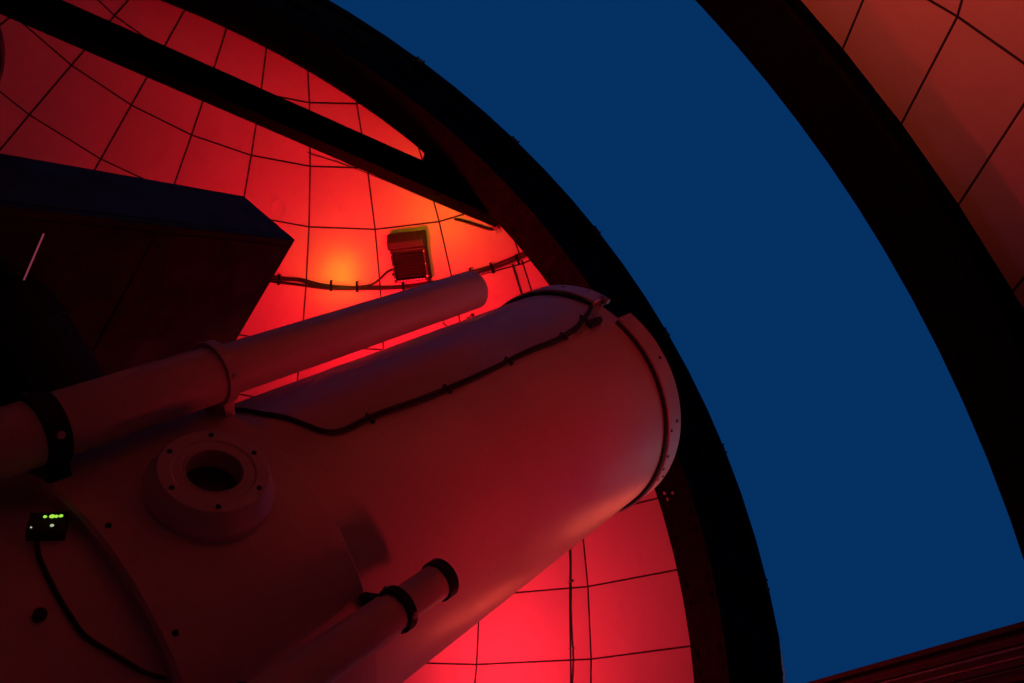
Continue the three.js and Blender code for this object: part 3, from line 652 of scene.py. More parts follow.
def softened(node, finish, width):
    """A copy of a CAD node with eased edges, in place of the node."""
    bm = bmesh.new()
    bm.from_mesh(NODES[node].data)
    bmesh.ops.remove_doubles(bm, verts=bm.verts, dist=1e-5)
    bmesh.ops.dissolve_limit(bm, angle_limit=math.radians(1.5), verts=bm.verts, edges=bm.edges)
    for face in bm.faces:
        face.smooth = False
        face.material_index = 0
    mesh = bpy.data.meshes.new(node + "_body")
    bm.to_mesh(mesh)
    bm.free()
    mesh.materials.clear()
    mesh.materials.append(FINISH[finish])
    placed(mesh.name, mesh, NODES[node]["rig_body"], [node], width, 30)


class Repeat(Nodes):
    """A geometry node tree that makes repeated pieces in one material."""

    def __init__(self, name, inputs):
        self.tree = bpy.data.node_groups.new(name, "GeometryNodeTree")
        sockets = self.tree.interface.new_socket
        for label, kind in [("Geometry", "Geometry"), *inputs, ("Material", "Material")]:
            sockets(label, in_out="INPUT", socket_type="NodeSocket" + kind)
        sockets("Geometry", in_out="OUTPUT", socket_type="NodeSocketGeometry")
        self.inlet = self.tree.nodes.new("NodeGroupInput").outputs
        self.outlet = self.tree.nodes.new("NodeGroupOutput").inputs[0]

    def close(self, geometry):
        """Makes the copies real, gives them the material and ends the tree."""
        real = self.add("GeometryNodeRealizeInstances", {0: geometry})[0]
        done = self.add("GeometryNodeSetMaterial", {"Geometry": real, "Material": self.inlet["Material"]})[0]
        self.feed(self.outlet, done)
        return self.tree

    def spread(self, shape, turns):
        """Copies a shape to each point, with axes of it turned to named directions that the point has."""
        inputs, pivot = {}, "AUTO"
        for label, axis in turns:
            aim = self.add("GeometryNodeInputNamedAttribute", {"Name": label}, data_type="FLOAT_VECTOR")
            inputs["Vector"] = aim["Attribute"]
            turn = self.add("FunctionNodeAlignRotationToVector", inputs, axis=axis, pivot_axis=pivot)
            inputs, pivot = {"Rotation": turn[0]}, "Z"
        inputs.update({"Points": self.inlet["Geometry"], "Instance": shape})
        return self.close(self.add("GeometryNodeInstanceOnPoints", inputs)[0])


def fastener_tree():
    """A hexagon head on a washer at each point, turned to the point's aim."""
    t = Repeat("Fasteners", [("Radius", "Float"), ("Height", "Float")])
    radius, height = t.inlet["Radius"], t.inlet["Height"]
    head = t.add("GeometryNodeMeshCylinder", {"Vertices": 6, "Radius": radius, "Depth": height})
    washer = t.add("GeometryNodeMeshCylinder", {"Vertices": 10, "Radius": t.math("MULTIPLY", radius, 1.45),
                                                "Depth": t.math("MULTIPLY", height, 0.5)})
    both = t.add("GeometryNodeJoinGeometry", {0: [head["Mesh"], washer["Mesh"]]})
    return t.spread(both[0], [("aim", "Z")])


def plate_tree():
    """A flat bar at each point, its z along the aim and its y along the run."""
    t = Repeat("Plates", [("Size", "Vector")])
    bar = t.add("GeometryNodeMeshCube", {"Size": t.inlet["Size"]})
    return t.spread(bar["Mesh"], [("aim", "Z"), ("run", "Y")])


def bead_tree():
    """A round bead along every edge of a wire."""
    t = Repeat("Bead along edges", [("Radius", "Float"), ("Sides", "Int")])
    wire = t.add("GeometryNodeMeshToCurve", {"Mesh": t.inlet["Geometry"]})[0]
    ring = t.add("GeometryNodeCurvePrimitiveCircle", {"Radius": t.inlet["Radius"],
                                                      "Resolution": t.inlet["Sides"]})[0]
    return t.close(t.add("GeometryNodeCurveToMesh", {"Curve": wire, "Profile Curve": ring,
                                                     "Fill Caps": True})[0])


TREES = {}


def grown(name, mesh, tree_name, values, finish, body):
    """Runs a tree on a mesh and keeps the result as a plain piece."""
    tree = TREES[tree_name]
    source = bpy.data.objects.new(name + "_source", mesh)
    bpy.context.scene.collection.objects.link(source)
    modifier = source.modifiers.new("nodes", "NODES")
    modifier.node_group = tree
    ids = {item.name: item.identifier for item in tree.interface.items_tree if item.in_out == "INPUT"}
    for label, value in {**values, "Material": FINISH[finish]}.items():
        modifier[ids[label]] = value
    source.update_tag()
    depsgraph = bpy.context.evaluated_depsgraph_get()
    made = bpy.data.meshes.new_from_object(source.evaluated_get(depsgraph), depsgraph=depsgraph)
    bpy.data.objects.remove(source)
    made.name = name
    placed(name, made, body)


def points_mesh(name, places, labels):
    """A mesh of loose points that have directions by name."""
    mesh = bpy.data.meshes.new(name + "_points")
    mesh.from_pydata([tuple(place[0]) for place in places], [], [])
    for k, label in enumerate(labels, 1):
        attribute = mesh.attributes.new(label, "FLOAT_VECTOR", "POINT")
        for i, place in enumerate(places):
            attribute.data[i].vector = place[k]
    return mesh


def fasteners(name, body, places, radius, finish="zinc"):
    """Bolt heads at (point, direction) places."""
    mesh = points_mesh(name, places, ["aim"])
    grown(name, mesh, "fasteners", {"Radius": radius, "Height": radius * 1.1}, finish, body)


def plates(name, body, places, size, finish):
    """Flat bars at (middle, aim, run) places; size runs across, along the run and along the aim."""
    grown(name, points_mesh(name, places, ["aim", "run"]), "plates", {"Size": size}, finish, body)


def beads(name, body, lines, radius, finish):
    """Beads along straight lines from point to point."""
    mesh = bpy.data.meshes.new(name + "_wire")
    mesh.from_pydata([tuple(p) for line in lines for p in line],
                     [(2 * i, 2 * i + 1) for i in range(len(lines))], [])
    grown(name, mesh, "beads", {"Radius": radius, "Sides": 6}, finish, body)


def seam_lines(r):
    """The grid of seams on the two shell halves, cut where the arches stand."""
    lines = []

    def keep(a, b):
        if abs(a.x) < ARCH_OUT and abs(b.x) < ARCH_OUT:
            return
        if abs(a.x) < ARCH_OUT or abs(b.x) < ARCH_OUT:
            if abs(a.x) > abs(b.x):
                a, b = b, a
            edge = math.copysign(ARCH_OUT, b.x)
            a = a.lerp(b, (edge - a.x) / (b.x - a.x))
        lines.append((a, b))

    for i in range(360 // GORE_DEG):
        az = GORE_DEG * (i + 0.5)
        for low, high in zip(ROWS_DEG, ROWS_DEG[1:]):
            keep(dome_point(az, low, r), dome_point(az, high, r))
        for lat in ROWS_DEG[1:]:
            keep(dome_point(az, lat, r), dome_point(az + GORE_DEG, lat, r))
    return lines


def dress_nodes():
    """Every CAD node gets the finish of its kind."""
    by_slot = {"wall_render": "render", "concrete": "concrete", "outer_paint": "outside",
               "dome_panel": "panel", "sill_panel": "panel", "dark_steel": "steel", "box_plastic": "box",
               "cable_rubber": "cable", "mirror": "mirror", "tube_paint": "tube", "mount_paint": "mount"}
    for part in frame["record"]["subparts"]:
        materials = NODES[part["node"]].data.materials
        materials.clear()
        materials.append(FINISH[by_slot[part["material_slot"]]])


class OBS_OT_finishes(bpy.types.Operator):
    """Makes the finishes and paints the CAD pieces"""
    bl_idname = "observatory.finishes"
    bl_label = "Finishes"

    def execute(self, context):
        make_finishes(context.scene.dome_colours)
        TREES.update({"fasteners": fastener_tree(), "beads": bead_tree(), "plates": plate_tree()})
        dress_nodes()
        return {"FINISHED"}


class OBS_OT_shell(bpy.types.Operator):
    """Seams inside the shell and cover strips with rivets outside"""
    bl_idname = "observatory.shell"
    bl_label = "Dome shell"

    def execute(self, context):
        sizes = context.scene.dome_sizes
        beads("panel_seams", "dome", seam_lines(SHELL_R), sizes.seam / 2, "sealant")
        strips, rivets = Form(), []
        half = sizes.batten / 2
        sunk, proud, pitch = 0.002, 0.004, 0.2
        for a, b in seam_lines(SHELL_R + SHELL_T):
            out = ((a + b) / 2 - Vector((0, 0, SPRING_Z))).normalized()
            along = (b - a).normalized()
            out = (out - along * out.dot(along)).normalized()
            side = out.cross(along)
            length = (b - a).length
            outline = [(-half, -sunk), (half, -sunk), (half * 0.8, proud), (-half * 0.8, proud)]
            strips.prism(frame_at(a, side, out, along), outline, 0.0, length, "outside")
            count = max(2, round(length / pitch))
            for i in range(count):
                at = a + along * length * (i + 0.5) / count + out * proud
                rivets += [(at + side * half * share, out) for share in (-0.6, 0.6)]
        strips.make("cover_strips", "dome", "outer_paint")
        fasteners("cover_rivets", "dome", rivets, 0.005)
        return {"FINISHED"}


class OBS_OT_arches(bpy.types.Operator):
    """Stiffeners, flange bolts and shutter guides on the arches"""
    bl_idname = "observatory.arches"
    bl_label = "Arches"

    def execute(self, context):
        ribs, bolts, guides = [], [], Form()
        for side in (-1, 1):
            across = Vector((side, 0, 0))
            for deg in range(6, 180, 6):
                out = arch_frame(0, deg, 0).col[2].xyz
                for x, r in ((ARCH_IN + 0.0125, WEB_IN_R), (ARCH_OUT - 0.0125, WEB_OUT_R)):
                    ribs.append((arch_point(side * x, deg, r), across, out))
                for at in (deg - 0.8, deg + 0.8):
                    for x in (ARCH_IN + 0.05, ARCH_OUT - 0.05):
                        bolts.append((arch_point(side * x, at, ARCH_FOOT_R - 0.002), -out))
                    for r in (3.64, 3.98):
                        bolts.append((arch_point(side * (ARCH_IN + 0.002), at, r), -across))
            for i in range(8):
                m = arch_frame(side * ARCH_IN, 12 + 12 * i, RAIL_R)
                guides.block(m, sorted((0, -side * 0.012)), (-0.045, 0.045), (-0.035, 0.03), "steel")
                for y in ((-0.03, -0.022), (0.022, 0.03)):
                    guides.block(m, sorted((-side * 0.012, -side * 0.04)), y, (-0.02, 0.02), "steel")
                guides.rod(*(m @ Vector((-side * 0.026, y, 0)) for y in (-0.024, 0.024)), 0.017, "cable", 20)
        m = arch_frame(1.045, 21.2, ARCH_FOOT_R)
        guides.block(m, (-0.055, 0.045), (-0.038, 0.034), (-0.006, 0.001), "steel")
        for x, y in ((0.031, 0.0215), (-0.038, -0.0025), (0.022, -0.0195)):
            guides.turn(shifted(m, x, y, -0.006), [(0, -0.008), (0.008, -0.008), (0.011, -0.004),
                                                   (0.011, 0.001), (0, 0.001)], "conduit", 24)
        plates("arch_stiffeners", "dome", ribs, (0.24, 0.024, 0.02), "steel")
        fasteners("arch_bolts", "dome", bolts, context.scene.dome_sizes.bolt, "steel")
        guides.make("shutter_guides", "dome", "dark_steel", 0.0015)
        return {"FINISHED"}


class OBS_OT_ties(bpy.types.Operator):
    """Gusset bolts and web stiffeners on the level ties"""
    bl_idname = "observatory.ties"
    bl_label = "Ties"

    def execute(self, context):
        bolts, ribs = [], []
        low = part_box("brace_east")[0].z
        for side in (-1, 1):
            across = Vector((side, 0, 0))
            for end in (-1, 1):
                for y in (1.56, 1.72, 1.88):
                    z = low + 0.245 + 0.35 * (1.9 - y)
                    bolts.append((Vector((side * (ARCH_OUT + 0.0123), end * y, z)), across))
                for y in (1.62, 1.8, 1.96):
                    bolts.append((Vector((side * (ARCH_OUT + 0.03), end * y, low - 0.003)), -UP))
            for i in range(-3, 4):
                for x in (ARCH_OUT + 0.02, ARCH_OUT + 0.07):
                    ribs.append((Vector((side * x, 0.48 * i, low + 0.11)), UP, Vector((0, 1, 0))))
        fasteners("tie_bolts", "dome", bolts, 0.012, "steel")
        plates("tie_stiffeners", "dome", ribs, (0.036, 0.01, 0.19), "steel")
        return {"FINISHED"}


class OBS_OT_wall_box(bpy.types.Operator):
    """Hooded wall box, its louvres and fixings"""
    bl_idname = "observatory.wall_box"
    bl_label = "Wall box"

    def execute(self, context):
        m = panel_frame(48, 7)
        softened("wall_box_hood", "box", 0.008)
        case, slats, gland = Form(), Form(), Form()
        whole, side = (-0.134, 0.134), (-0.178, 0.06)
        for x, y, z in ((whole, side, (0.001, 0.02)), ((-0.134, -0.118), side, (0.018, 0.07)),
                        ((0.118, 0.134), side, (0.018, 0.07)), (whole, (-0.178, -0.158), (0.018, 0.078)),
                        ((-0.12, 0.12), (0.044, 0.06), (0.018, 0.07))):
            case.block(m, x, y, z, "box")
        case.make("wall_box_case", "dome", "box_plastic", 0.003, ["wall_box_louvre"])
        for i in range(9):
            blade = shifted(m, 0, -0.146 + 0.0215 * i, 0.044, -38, "X")
            slats.block(blade, (-0.119, 0.119), (-0.0012, 0.0012), (-0.018, 0.02), "box")
        slats.make("wall_box_slats", "dome", "box_plastic", 0.0006)
        screws = [shifted(m, x, y, 0.0705) for x in (-0.126, 0.126) for y in (-0.15, -0.06, 0.03)]
        screws += [shifted(m, -0.1 + 0.025 * i, -0.168, 0.0785) for i in range(9)]
        fasteners("wall_box_screws", "dome", outward(screws), 0.004)
        gland.turn(shifted(m, -0.134, -0.12, 0.02, -90, "Y"),
                   [(0, -0.002), (0.015, -0.002), (0.015, 0.012), (0.012, 0.014), (0.012, 0.026),
                    (0.008, 0.03), (0, 0.03)], "cable", 24)
        gland.make("cable_gland", "dome", "cable_rubber")
        return {"FINISHED"}


# Cables on the panels: azimuth and latitude of each point, radius and finish
CABLES = [
    ([(73.4, 46.98), (71.3, 46.95), (69.3, 47.12), (67.0, 47.2), (64.1, 46.9), (60.5, 46.84), (56.4, 47.1),
      (54.6, 47.5), (52.6, 48.5), (51.55, 48.78)], 0.0085, "cable"),
    ([(73.4, 46.8), (70.8, 46.75), (66.9, 46.78), (62.1, 46.72), (56.4, 46.82), (50.0, 46.8), (43.9, 46.86),
      (41.4, 47.0), (37.1, 47.12), (33.5, 47.2), (29.6, 47.36), (25.9, 47.5)], 0.0105, "cable"),
    ([(73.4, 47.2), (69.0, 47.34), (66.8, 47.42), (63.6, 47.1), (60.5, 47.0), (56.3, 46.98), (50.0, 46.97),
      (44.0, 47.08), (41.4, 47.3), (37.1, 47.42), (33.5, 47.5), (29.6, 47.66), (25.9, 47.8)],
     0.0085, "cable"),
    ([(44.3, 46.9), (41.4, 46.98), (37.1, 46.96), (33.5, 47.02), (29.6, 47.14), (25.9, 47.3)],
     0.006, "conduit"),
]
# Thin wires: points, lift off the panels, radius and sides
WIRES = [
    ([(31.6, 47.0), (31.55, 40.0), (31.7, 33.0), (31.6, 26.0), (31.55, 18.0), (31.9, 13.4), (31.9, 6.0),
      (31.8, 0.4)], 0.0075, 0.0055, 8),
    ([(66.5, 61.0), (64.9, 60.75), (59.6, 60.1), (51.6, 58.4), (44.3, 56.15), (37.65, 53.56), (32.4, 51.2)],
     0.006, 0.0028, 8),
    ([(38.9, 53.0), (37.4, 52.55), (35.2, 51.75), (33.2, 51.0), (32.0, 50.9)], 0.011, 0.009, 10),
]
CABLE_CLIPS = (70.2, 61.8, 57.6, 50, 45.6, 38.4, 34.8, 30.4)
WIRE_CLIPS = ((31.56, 42), (31.62, 36), (31.66, 29), (31.55, 21), (31.8, 15), (31.93, 9), (31.86, 3))


class OBS_OT_cables(bpy.types.Operator):
    """Cables clipped to the panels, a plug, hooks and the small lamp bracket"""
    bl_idname = "observatory.cables"
    bl_label = "Cables"

    def execute(self, context):
        bundle, clips, thin, bracket, plug, small = (Form() for _ in range(6))
        for points, r, finish in CABLES:
            line = smooth_path([on_shell(az, lat, r + 0.002)[0] for az, lat in points], 8)
            bundle.tube(line, r, finish, 10)
        bundle.make("cable_bundle", "dome", "cable_rubber", 0.0, ["cable_run"])
        for az in CABLE_CLIPS:
            m = shell_frame(az, 47.02 if az > 44 else 47.2)
            for y, z in (((-0.038, 0.042), (0.022, 0.0245)), ((-0.038, -0.0355), (0.0, 0.0235)),
                         ((0.0395, 0.042), (0.0, 0.0235))):
                clips.block(m, (-0.009, 0.009), y, z, "steel")
        for az, lat in WIRE_CLIPS:
            for x, z in (((-0.014, 0.014), (0.0135, 0.015)), ((-0.0165, -0.014), (0.0, 0.015)),
                         ((0.014, 0.0165), (0.0, 0.015))):
                clips.block(shell_frame(az, lat), x, (-0.005, 0.005), z, "zinc")
        clips.block(shell_frame(73.4, 47.0), (-0.03, 0.03), (-0.045, 0.045), (0.0, 0.04), "box")
        clips.make("cable_clips", "dome", "dark_steel", 0.0006)
        for points, lift, r, sides in WIRES:
            thin.tube(smooth_path([on_shell(az, lat, lift)[0] for az, lat in points]), r, "cable", sides)
        thin.make("panel_wires", "dome", "cable_rubber")
        m = shell_frame(32.0, 51.1)
        bracket.block(m, (-0.022, 0.022), (-0.05, 0.05), (0.0, 0.004), "conduit")
        bracket.block(m, (-0.018, 0.018), (-0.02, 0.035), (0.004, 0.034), "conduit")
        bracket.turn(shifted(m, 0, 0.006, 0.034), [(0, 0), (0.013, 0), (0.013, 0.012), (0.009, 0.018),
                                                   (0, 0.019)], "conduit", 24)
        bracket.make("lamp_bracket", "dome", "box_plastic", 0.0015)
        plug.turn(shell_frame(71.6, 54.6) @ Matrix.Diagonal((0.68, 1, 1, 1)),
                  [(0, 0), (0.079, 0), (0.079, 0.003), (0.074, 0.0045), (0.068, 0.002), (0, 0.002)],
                  "panel", 48)
        plug.make("oval_plug", "dome", "dome_panel")
        hook, stub = shell_frame(44.2, 42.7), shell_frame(39.8, 42.96)
        bow = [(0.008, 0.03, 0), (-0.008, 0.015, 0.014), (-0.011, 0, 0.018), (-0.006, -0.015, 0.014),
               (0.01, -0.03, 0)]
        small.tube([hook @ p for p in smooth_path(bow, 4)], 0.0035, "cable")
        small.stud(stub, 0.013, 0.014, "cable", top=0.009, shoulder=0.008)
        end = [(-0.01, -0.003, 0.004), (-0.03, -0.012, 0.006), (-0.055, -0.014, 0)]
        small.tube([stub @ p for p in smooth_path(end, 4)], 0.0035, "cable")
        small.make("panel_hooks", "dome", "cable_rubber")
        return {"FINISHED"}


class OBS_OT_ring_and_track(bpy.types.Operator):
    """Base ring, brush seal, track rollers and the slit's sill"""
    bl_idname = "observatory.ring_and_track"
    bl_label = "Ring, track and sill"

    def execute(self, context):
        bolts, bristles, axles, nuts = [], [], Form(), []
        for i in range(60):
            out = round_out(6 * i + 3)
            for z in (TRACK_TOP + 0.145, SPRING_Z - 0.045):
                bolts += [(out * FLANGE_R + UP * z, -out), (out * (SKIRT_R - 0.001) + UP * (z - 0.02), out)]
        fasteners("ring_bolts", "dome", bolts, 0.011, "steel")
        for i in range(720):
            out = round_out(0.5 * i)
            bristles.append((out * BRUSH_R + UP * (SKIRT_FOOT + 0.02), UP, out))
        plates("brush_seal", "dome", bristles, (0.03, 0.004, 0.05), "cable")
        for i in range(12):
            out = round_out(30 * i + 105)
            along = UP.cross(out)
            mid = out * ROLLER_R + UP * (TRACK_TOP + 0.05)
            axles.rod(mid - out * 0.06, mid + out * 0.06, 0.014, "zinc", 16)
            nuts += [(mid + out * 0.0475 * side, out * side) for side in (-1, 1)]
            nuts += [(mid + along * t - UP * 0.048, UP) for t in (-0.1, 0.1)]
        axles.make("roller_axles", "building", "dark_steel", 0.001)
        fasteners("roller_nuts", "building", nuts, 0.018)
        # The sill gets the dark box plastic as painted shade, and its ribs get pale grey as painted
        # highlights along their lit edges
        softened("slit_sill", "box", 0.004)
        rib_highlight_places = [(Vector((0, SILL_FACE_Y, SPRING_Z + 0.012 + 0.037 * i)), Vector((0, 1, 0)), Vector((1, 0, 0)))
                for i in range(6)]
        plates("sill_ribs_painted_highlight", "dome", rib_highlight_places, (0.008, 1.734, 0.012), "conduit")
        return {"FINISHED"}


class OBS_OT_shutters(bpy.types.Operator):
    """Ribs, edge seals and rivets on the parked shutters"""
    bl_idname = "observatory.shutters"
    bl_label = "Shutters"

    def execute(self, context):
        ribs, rivets, seals = [], [], Form()
        for deg in range(108, 176, 8):
            out = arch_frame(0, deg, 0).col[2].xyz
            ribs.append((arch_point(0, deg, SHUTTER_RIB_R), out, Vector((1, 0, 0))))
            rivets += [(arch_point(-1.1 + 0.2 * i, deg, SHUTTER_RIVET_R), out) for i in range(12)]
        plates("shutter_ribs", "dome", ribs, (0.04, 2.3, 0.013), "outside")
        fasteners("shutter_rivets", "dome", rivets, 0.006)
        for side in (-1, 1):
            seals.tube([arch_point(side * SHUTTER_EDGE, 104 + 4 * i, 3.962) for i in range(19)], 0.008,
                       "sealant")
        seals.tube([arch_point(-1.15 + 0.23 * i, 104.05, 4.082) for i in range(11)], 0.012, "sealant")
        seals.make("shutter_seals", "dome", "outer_paint")
        return {"FINISHED"}


class OBS_OT_entrance(bpy.types.Operator):
    """Entrance door, frame and fittings"""
    bl_idname = "observatory.entrance"
    bl_label = "Entrance"

    def execute(self, context):
        softened("door_frame", "steel", 0.003)
        low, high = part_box("entrance_door")
        leaf, trim = Form(), Form()
        x0, x1 = low.x + 0.0037, high.x
        front, back = DOOR_FACES_Y
        leaf.block(PLAIN, (x0, x1), (front, back), (low.z, high.z), "outside")
        for z in ((0.32, 0.98), (1.3, 2.1)):
            for y in ((front - 0.004, front + 0.002), (back - 0.002, back + 0.004)):
                leaf.block(PLAIN, (x0 + 0.1, x1 - 0.16), y, z, "outside")
        leaf.make("entrance_leaf", "building", "outer_paint", 0.003, ["entrance_door"])
        for z in (0.4, 1.2, 1.95):
            trim.rod((low.x + 0.001, -4.0125, z), (low.x + 0.001, -4.0125, z + 0.11), 0.0055, "zinc", 14)
        for y, s in ((front, -1), (back, 1)):
            m = frame_at(Vector((x1 - 0.075, y, 1.15)), Vector((1, 0, 0)), Vector((0, 0, -s)),
                         Vector((0, s, 0)))
            trim.block(m, (-0.02, 0.02), (-0.11, 0.11), (0, 0.006), "zinc")
            trim.stud(m, 0.011, 0.024, "zinc", 20)
            trim.block(m, (-0.12, 0.011), (-0.009, 0.009), (0.02, 0.029), "zinc")
            trim.stud(shifted(m, 0, 0.07 * s, 0.004), 0.012, 0.006, "steel", 20)
        trim.make("door_fittings", "building", "dark_steel", 0.0015)
        return {"FINISHED"}


class OBS_OT_mount(bpy.types.Operator):
    """Pier, polar housing, turning head, declination housing and counterweight"""
    bl_idname = "observatory.mount"
    bl_label = "Mount"

    def execute(self, context):
        softened("pier", "concrete", 0.012)
        softened("polar_housing", "mount", 0.006)
        rims, cover, collar, weights = Form(), Form(), Form(), Form()
        for z in (HOUSING_REAR + 0.002, -0.415):
            rims.ring(POLE, 0.218, 0.195, z, z + 0.05, "mount", chamfer=0.004)
        rims.make("housing_rims", "building", "mount_paint")
        softened("polar_head", "mount", 0.01)
        bolts = [(POLAR_AT + spoke(POLE, 30 * i + 15) * 0.2 + POLAR_DIR * HOUSING_REAR, -POLAR_DIR)
                 for i in range(12)]
        fasteners("housing_bolts", "building", bolts, 0.009)
        low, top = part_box("pier")
        feet = [(Vector((x, y, top.z + 0.0405)), UP)
                for x in (low.x + 0.03, top.x - 0.03) for y in (low.y + 0.03, top.y - 0.03)]
        fasteners("anchor_nuts", "building", feet, 0.014)
        screws = []
        for face in (-1, 1):
            m = shifted(HEAD, 0, face * 0.1478, 0)
            for z in ((HEAD_REAR, 0.345), (0.355, HEAD_FRONT)):
                cover.block(m, (-0.31, 0.31), sorted((0.0, face * 0.0025)), z, "mount")
            screws += [(m @ Vector((x, face * 0.0028, z)), m.col[1].xyz * face)
                       for x in (-0.295, 0.295) for z in (-0.26, 0.03, 0.325, 0.375, 0.67, 0.97)]
        end = shifted(HEAD, -0.3398, 0, 0)
        cover.block(end, (-0.0022, 0.0), (-0.125, 0.125), (HEAD_REAR, HEAD_FRONT), "mount")
        # A thin glowing strip on the head's side face: a painted highlight where light catches the face, with
        # no lamp behind it
        slot = shifted(HEAD, -0.193, -0.1503, -0.0136, -3.3, "Y")
        cover.block(slot, (-0.08, 0.08), (-0.002, 0.0005), (-0.0025, 0.0025), "painted_highlight_line")
        cover.make("head_covers", "mount_head", "mount_paint", 0.0015)
        fasteners("head_screws", "mount_head", screws, 0.004, "mount")
        for z0, z1 in ((0.47, 0.52), (0.2, 0.235)):
            collar.ring(DECLINATION, 0.162, 0.15, z0, z1, "mount", chamfer=0.003)
        collar.make("declination_rims", "mount_head", "mount_paint")
        weights.turn(DECLINATION, [(0, -1.4), (0.058, -1.4), (0.06, -1.398), (0.06, -0.142), (0.058, -0.14),
                                   (0, -0.14)], "zinc", 48)
        for z in (-1.33, -1.065):
            weights.turn(DECLINATION, [(SHAFT_R, z), (0.42, z), (0.44, z + 0.02), (0.44, z + 0.23),
                                       (0.42, z + 0.25), (SHAFT_R, z + 0.25)], "mount", 72, closed=True)
        weights.ring(DECLINATION, 0.095, SHAFT_R, -0.812, -0.777, "zinc", 40)
        weights.make("counterweight_set", "mount_head", "mount_paint", 0.0, ["counterweight"])
        return {"FINISHED"}


class OBS_OT_barrel(bpy.types.Operator):
    """Telescope tube, front collar, sleeve and port"""
    bl_idname = "observatory.barrel"
    bl_label = "Telescope tube"

    def execute(self, context):
        barrel, collar, rear, sleeve, port = (Form() for _ in range(5))
        barrel.ring(TUBE, TUBE_R, TUBE_BORE, SLEEVE_FRONT + FIT, COLLAR_REAR - FIT, "tube", TUBE_SIDES)
        barrel.make("tube_front", "telescope", "tube_paint", 0.0, ["front_tube"])
        whole = [(0.44, COLLAR_REAR), (0.479, COLLAR_REAR), (COLLAR_R, 1.7365), (COLLAR_R, 1.824),
                 (0.48, COLLAR_FRONT), (0.446, COLLAR_FRONT), (0.44, 1.822)]
        low = [(0.4402, COLLAR_REAR), (0.4636, COLLAR_REAR), (0.4636, 1.767), (0.4402, 1.767)]
        collar.arc(TUBE, whole, 168.2, 514.2, "tube")
        collar.arc(TUBE, low, 154.0, 168.4, "tube", 8)
        # A black ring where the collar meets the tube: painted shade for the shadow band along the collar's
        # rear edge
        collar_shadow_ring = [(0.4642, 1.7215), (0.4745, 1.7225), (0.4745, 1.7326), (0.4642, 1.7326)]
        collar.arc(TUBE, collar_shadow_ring, 168.6, 513.8, "sealant")
        collar.make("tube_collar", "telescope", "tube_paint", 0.0, ["front_collar"])
        rear.ring(TUBE, TUBE_R, TUBE_BORE, TUBE_REAR, SLEEVE_REAR - FIT, "tube", TUBE_SIDES)
        rear.make("tube_rear", "telescope", "tube_paint", 0.0, ["rear_tube"])
        sleeve.turn(TUBE, [(TUBE_BORE, SLEEVE_REAR), (SLEEVE_R - 0.008, SLEEVE_REAR),
                           (SLEEVE_R, SLEEVE_REAR + 0.008), (SLEEVE_R, SLEEVE_FRONT - 0.006),
                           (SLEEVE_R - 0.006, SLEEVE_FRONT), (TUBE_BORE, SLEEVE_FRONT)], "tube", TUBE_SIDES,
                    closed=True)
        sleeve.make("tube_sleeve", "telescope", "tube_paint", 0.0, ["centre_section"])
        places = [(angle, 1.748, COLLAR_R) for angle in (252.7, 246, 239, 226)] + [(169, 0.113, SLEEVE_R)]
        for i in range(12):
            places += [(30 * i + 13, 1.79, COLLAR_R), (30 * i + 13, SLEEVE_REAR + 0.03, SLEEVE_R)]
        fasteners("tube_screws", "telescope", outward(on_tube(*p) for p in places), 0.0045,
                  "steel")
        m = on_tube(165, -0.015, 0)
        port.turn(m, [(0.06, 0.49), (0.1385, 0.49), (0.14, 0.5), (0.14, 0.509), (0.137, 0.513),
                      (0.12, 0.5585), (0.116, 0.562), (0.09, 0.562), (0.086, 0.5585), (0.066, 0.5585),
                      (0.062, 0.562), (0.06, 0.56)], "tube", 72, closed=True)
        # A dark disc a little above the foot of the bore: painted shade, so that the port's hole reads dark
        port.stud(m, 0.0605, 0.506, "sealant", 48, start=0.502)
        port.make("port_boss", "telescope", "tube_paint", 0.0, ["side_port"])
        around = [math.radians(60 * i + 30) for i in range(6)]
        screws = [(m @ Vector((0.103 * math.cos(a), 0.103 * math.sin(a), 0.5625)), m.col[2].xyz)
                  for a in around]
        fasteners("port_screws", "telescope", screws, 0.004, "steel")
        return {"FINISHED"}


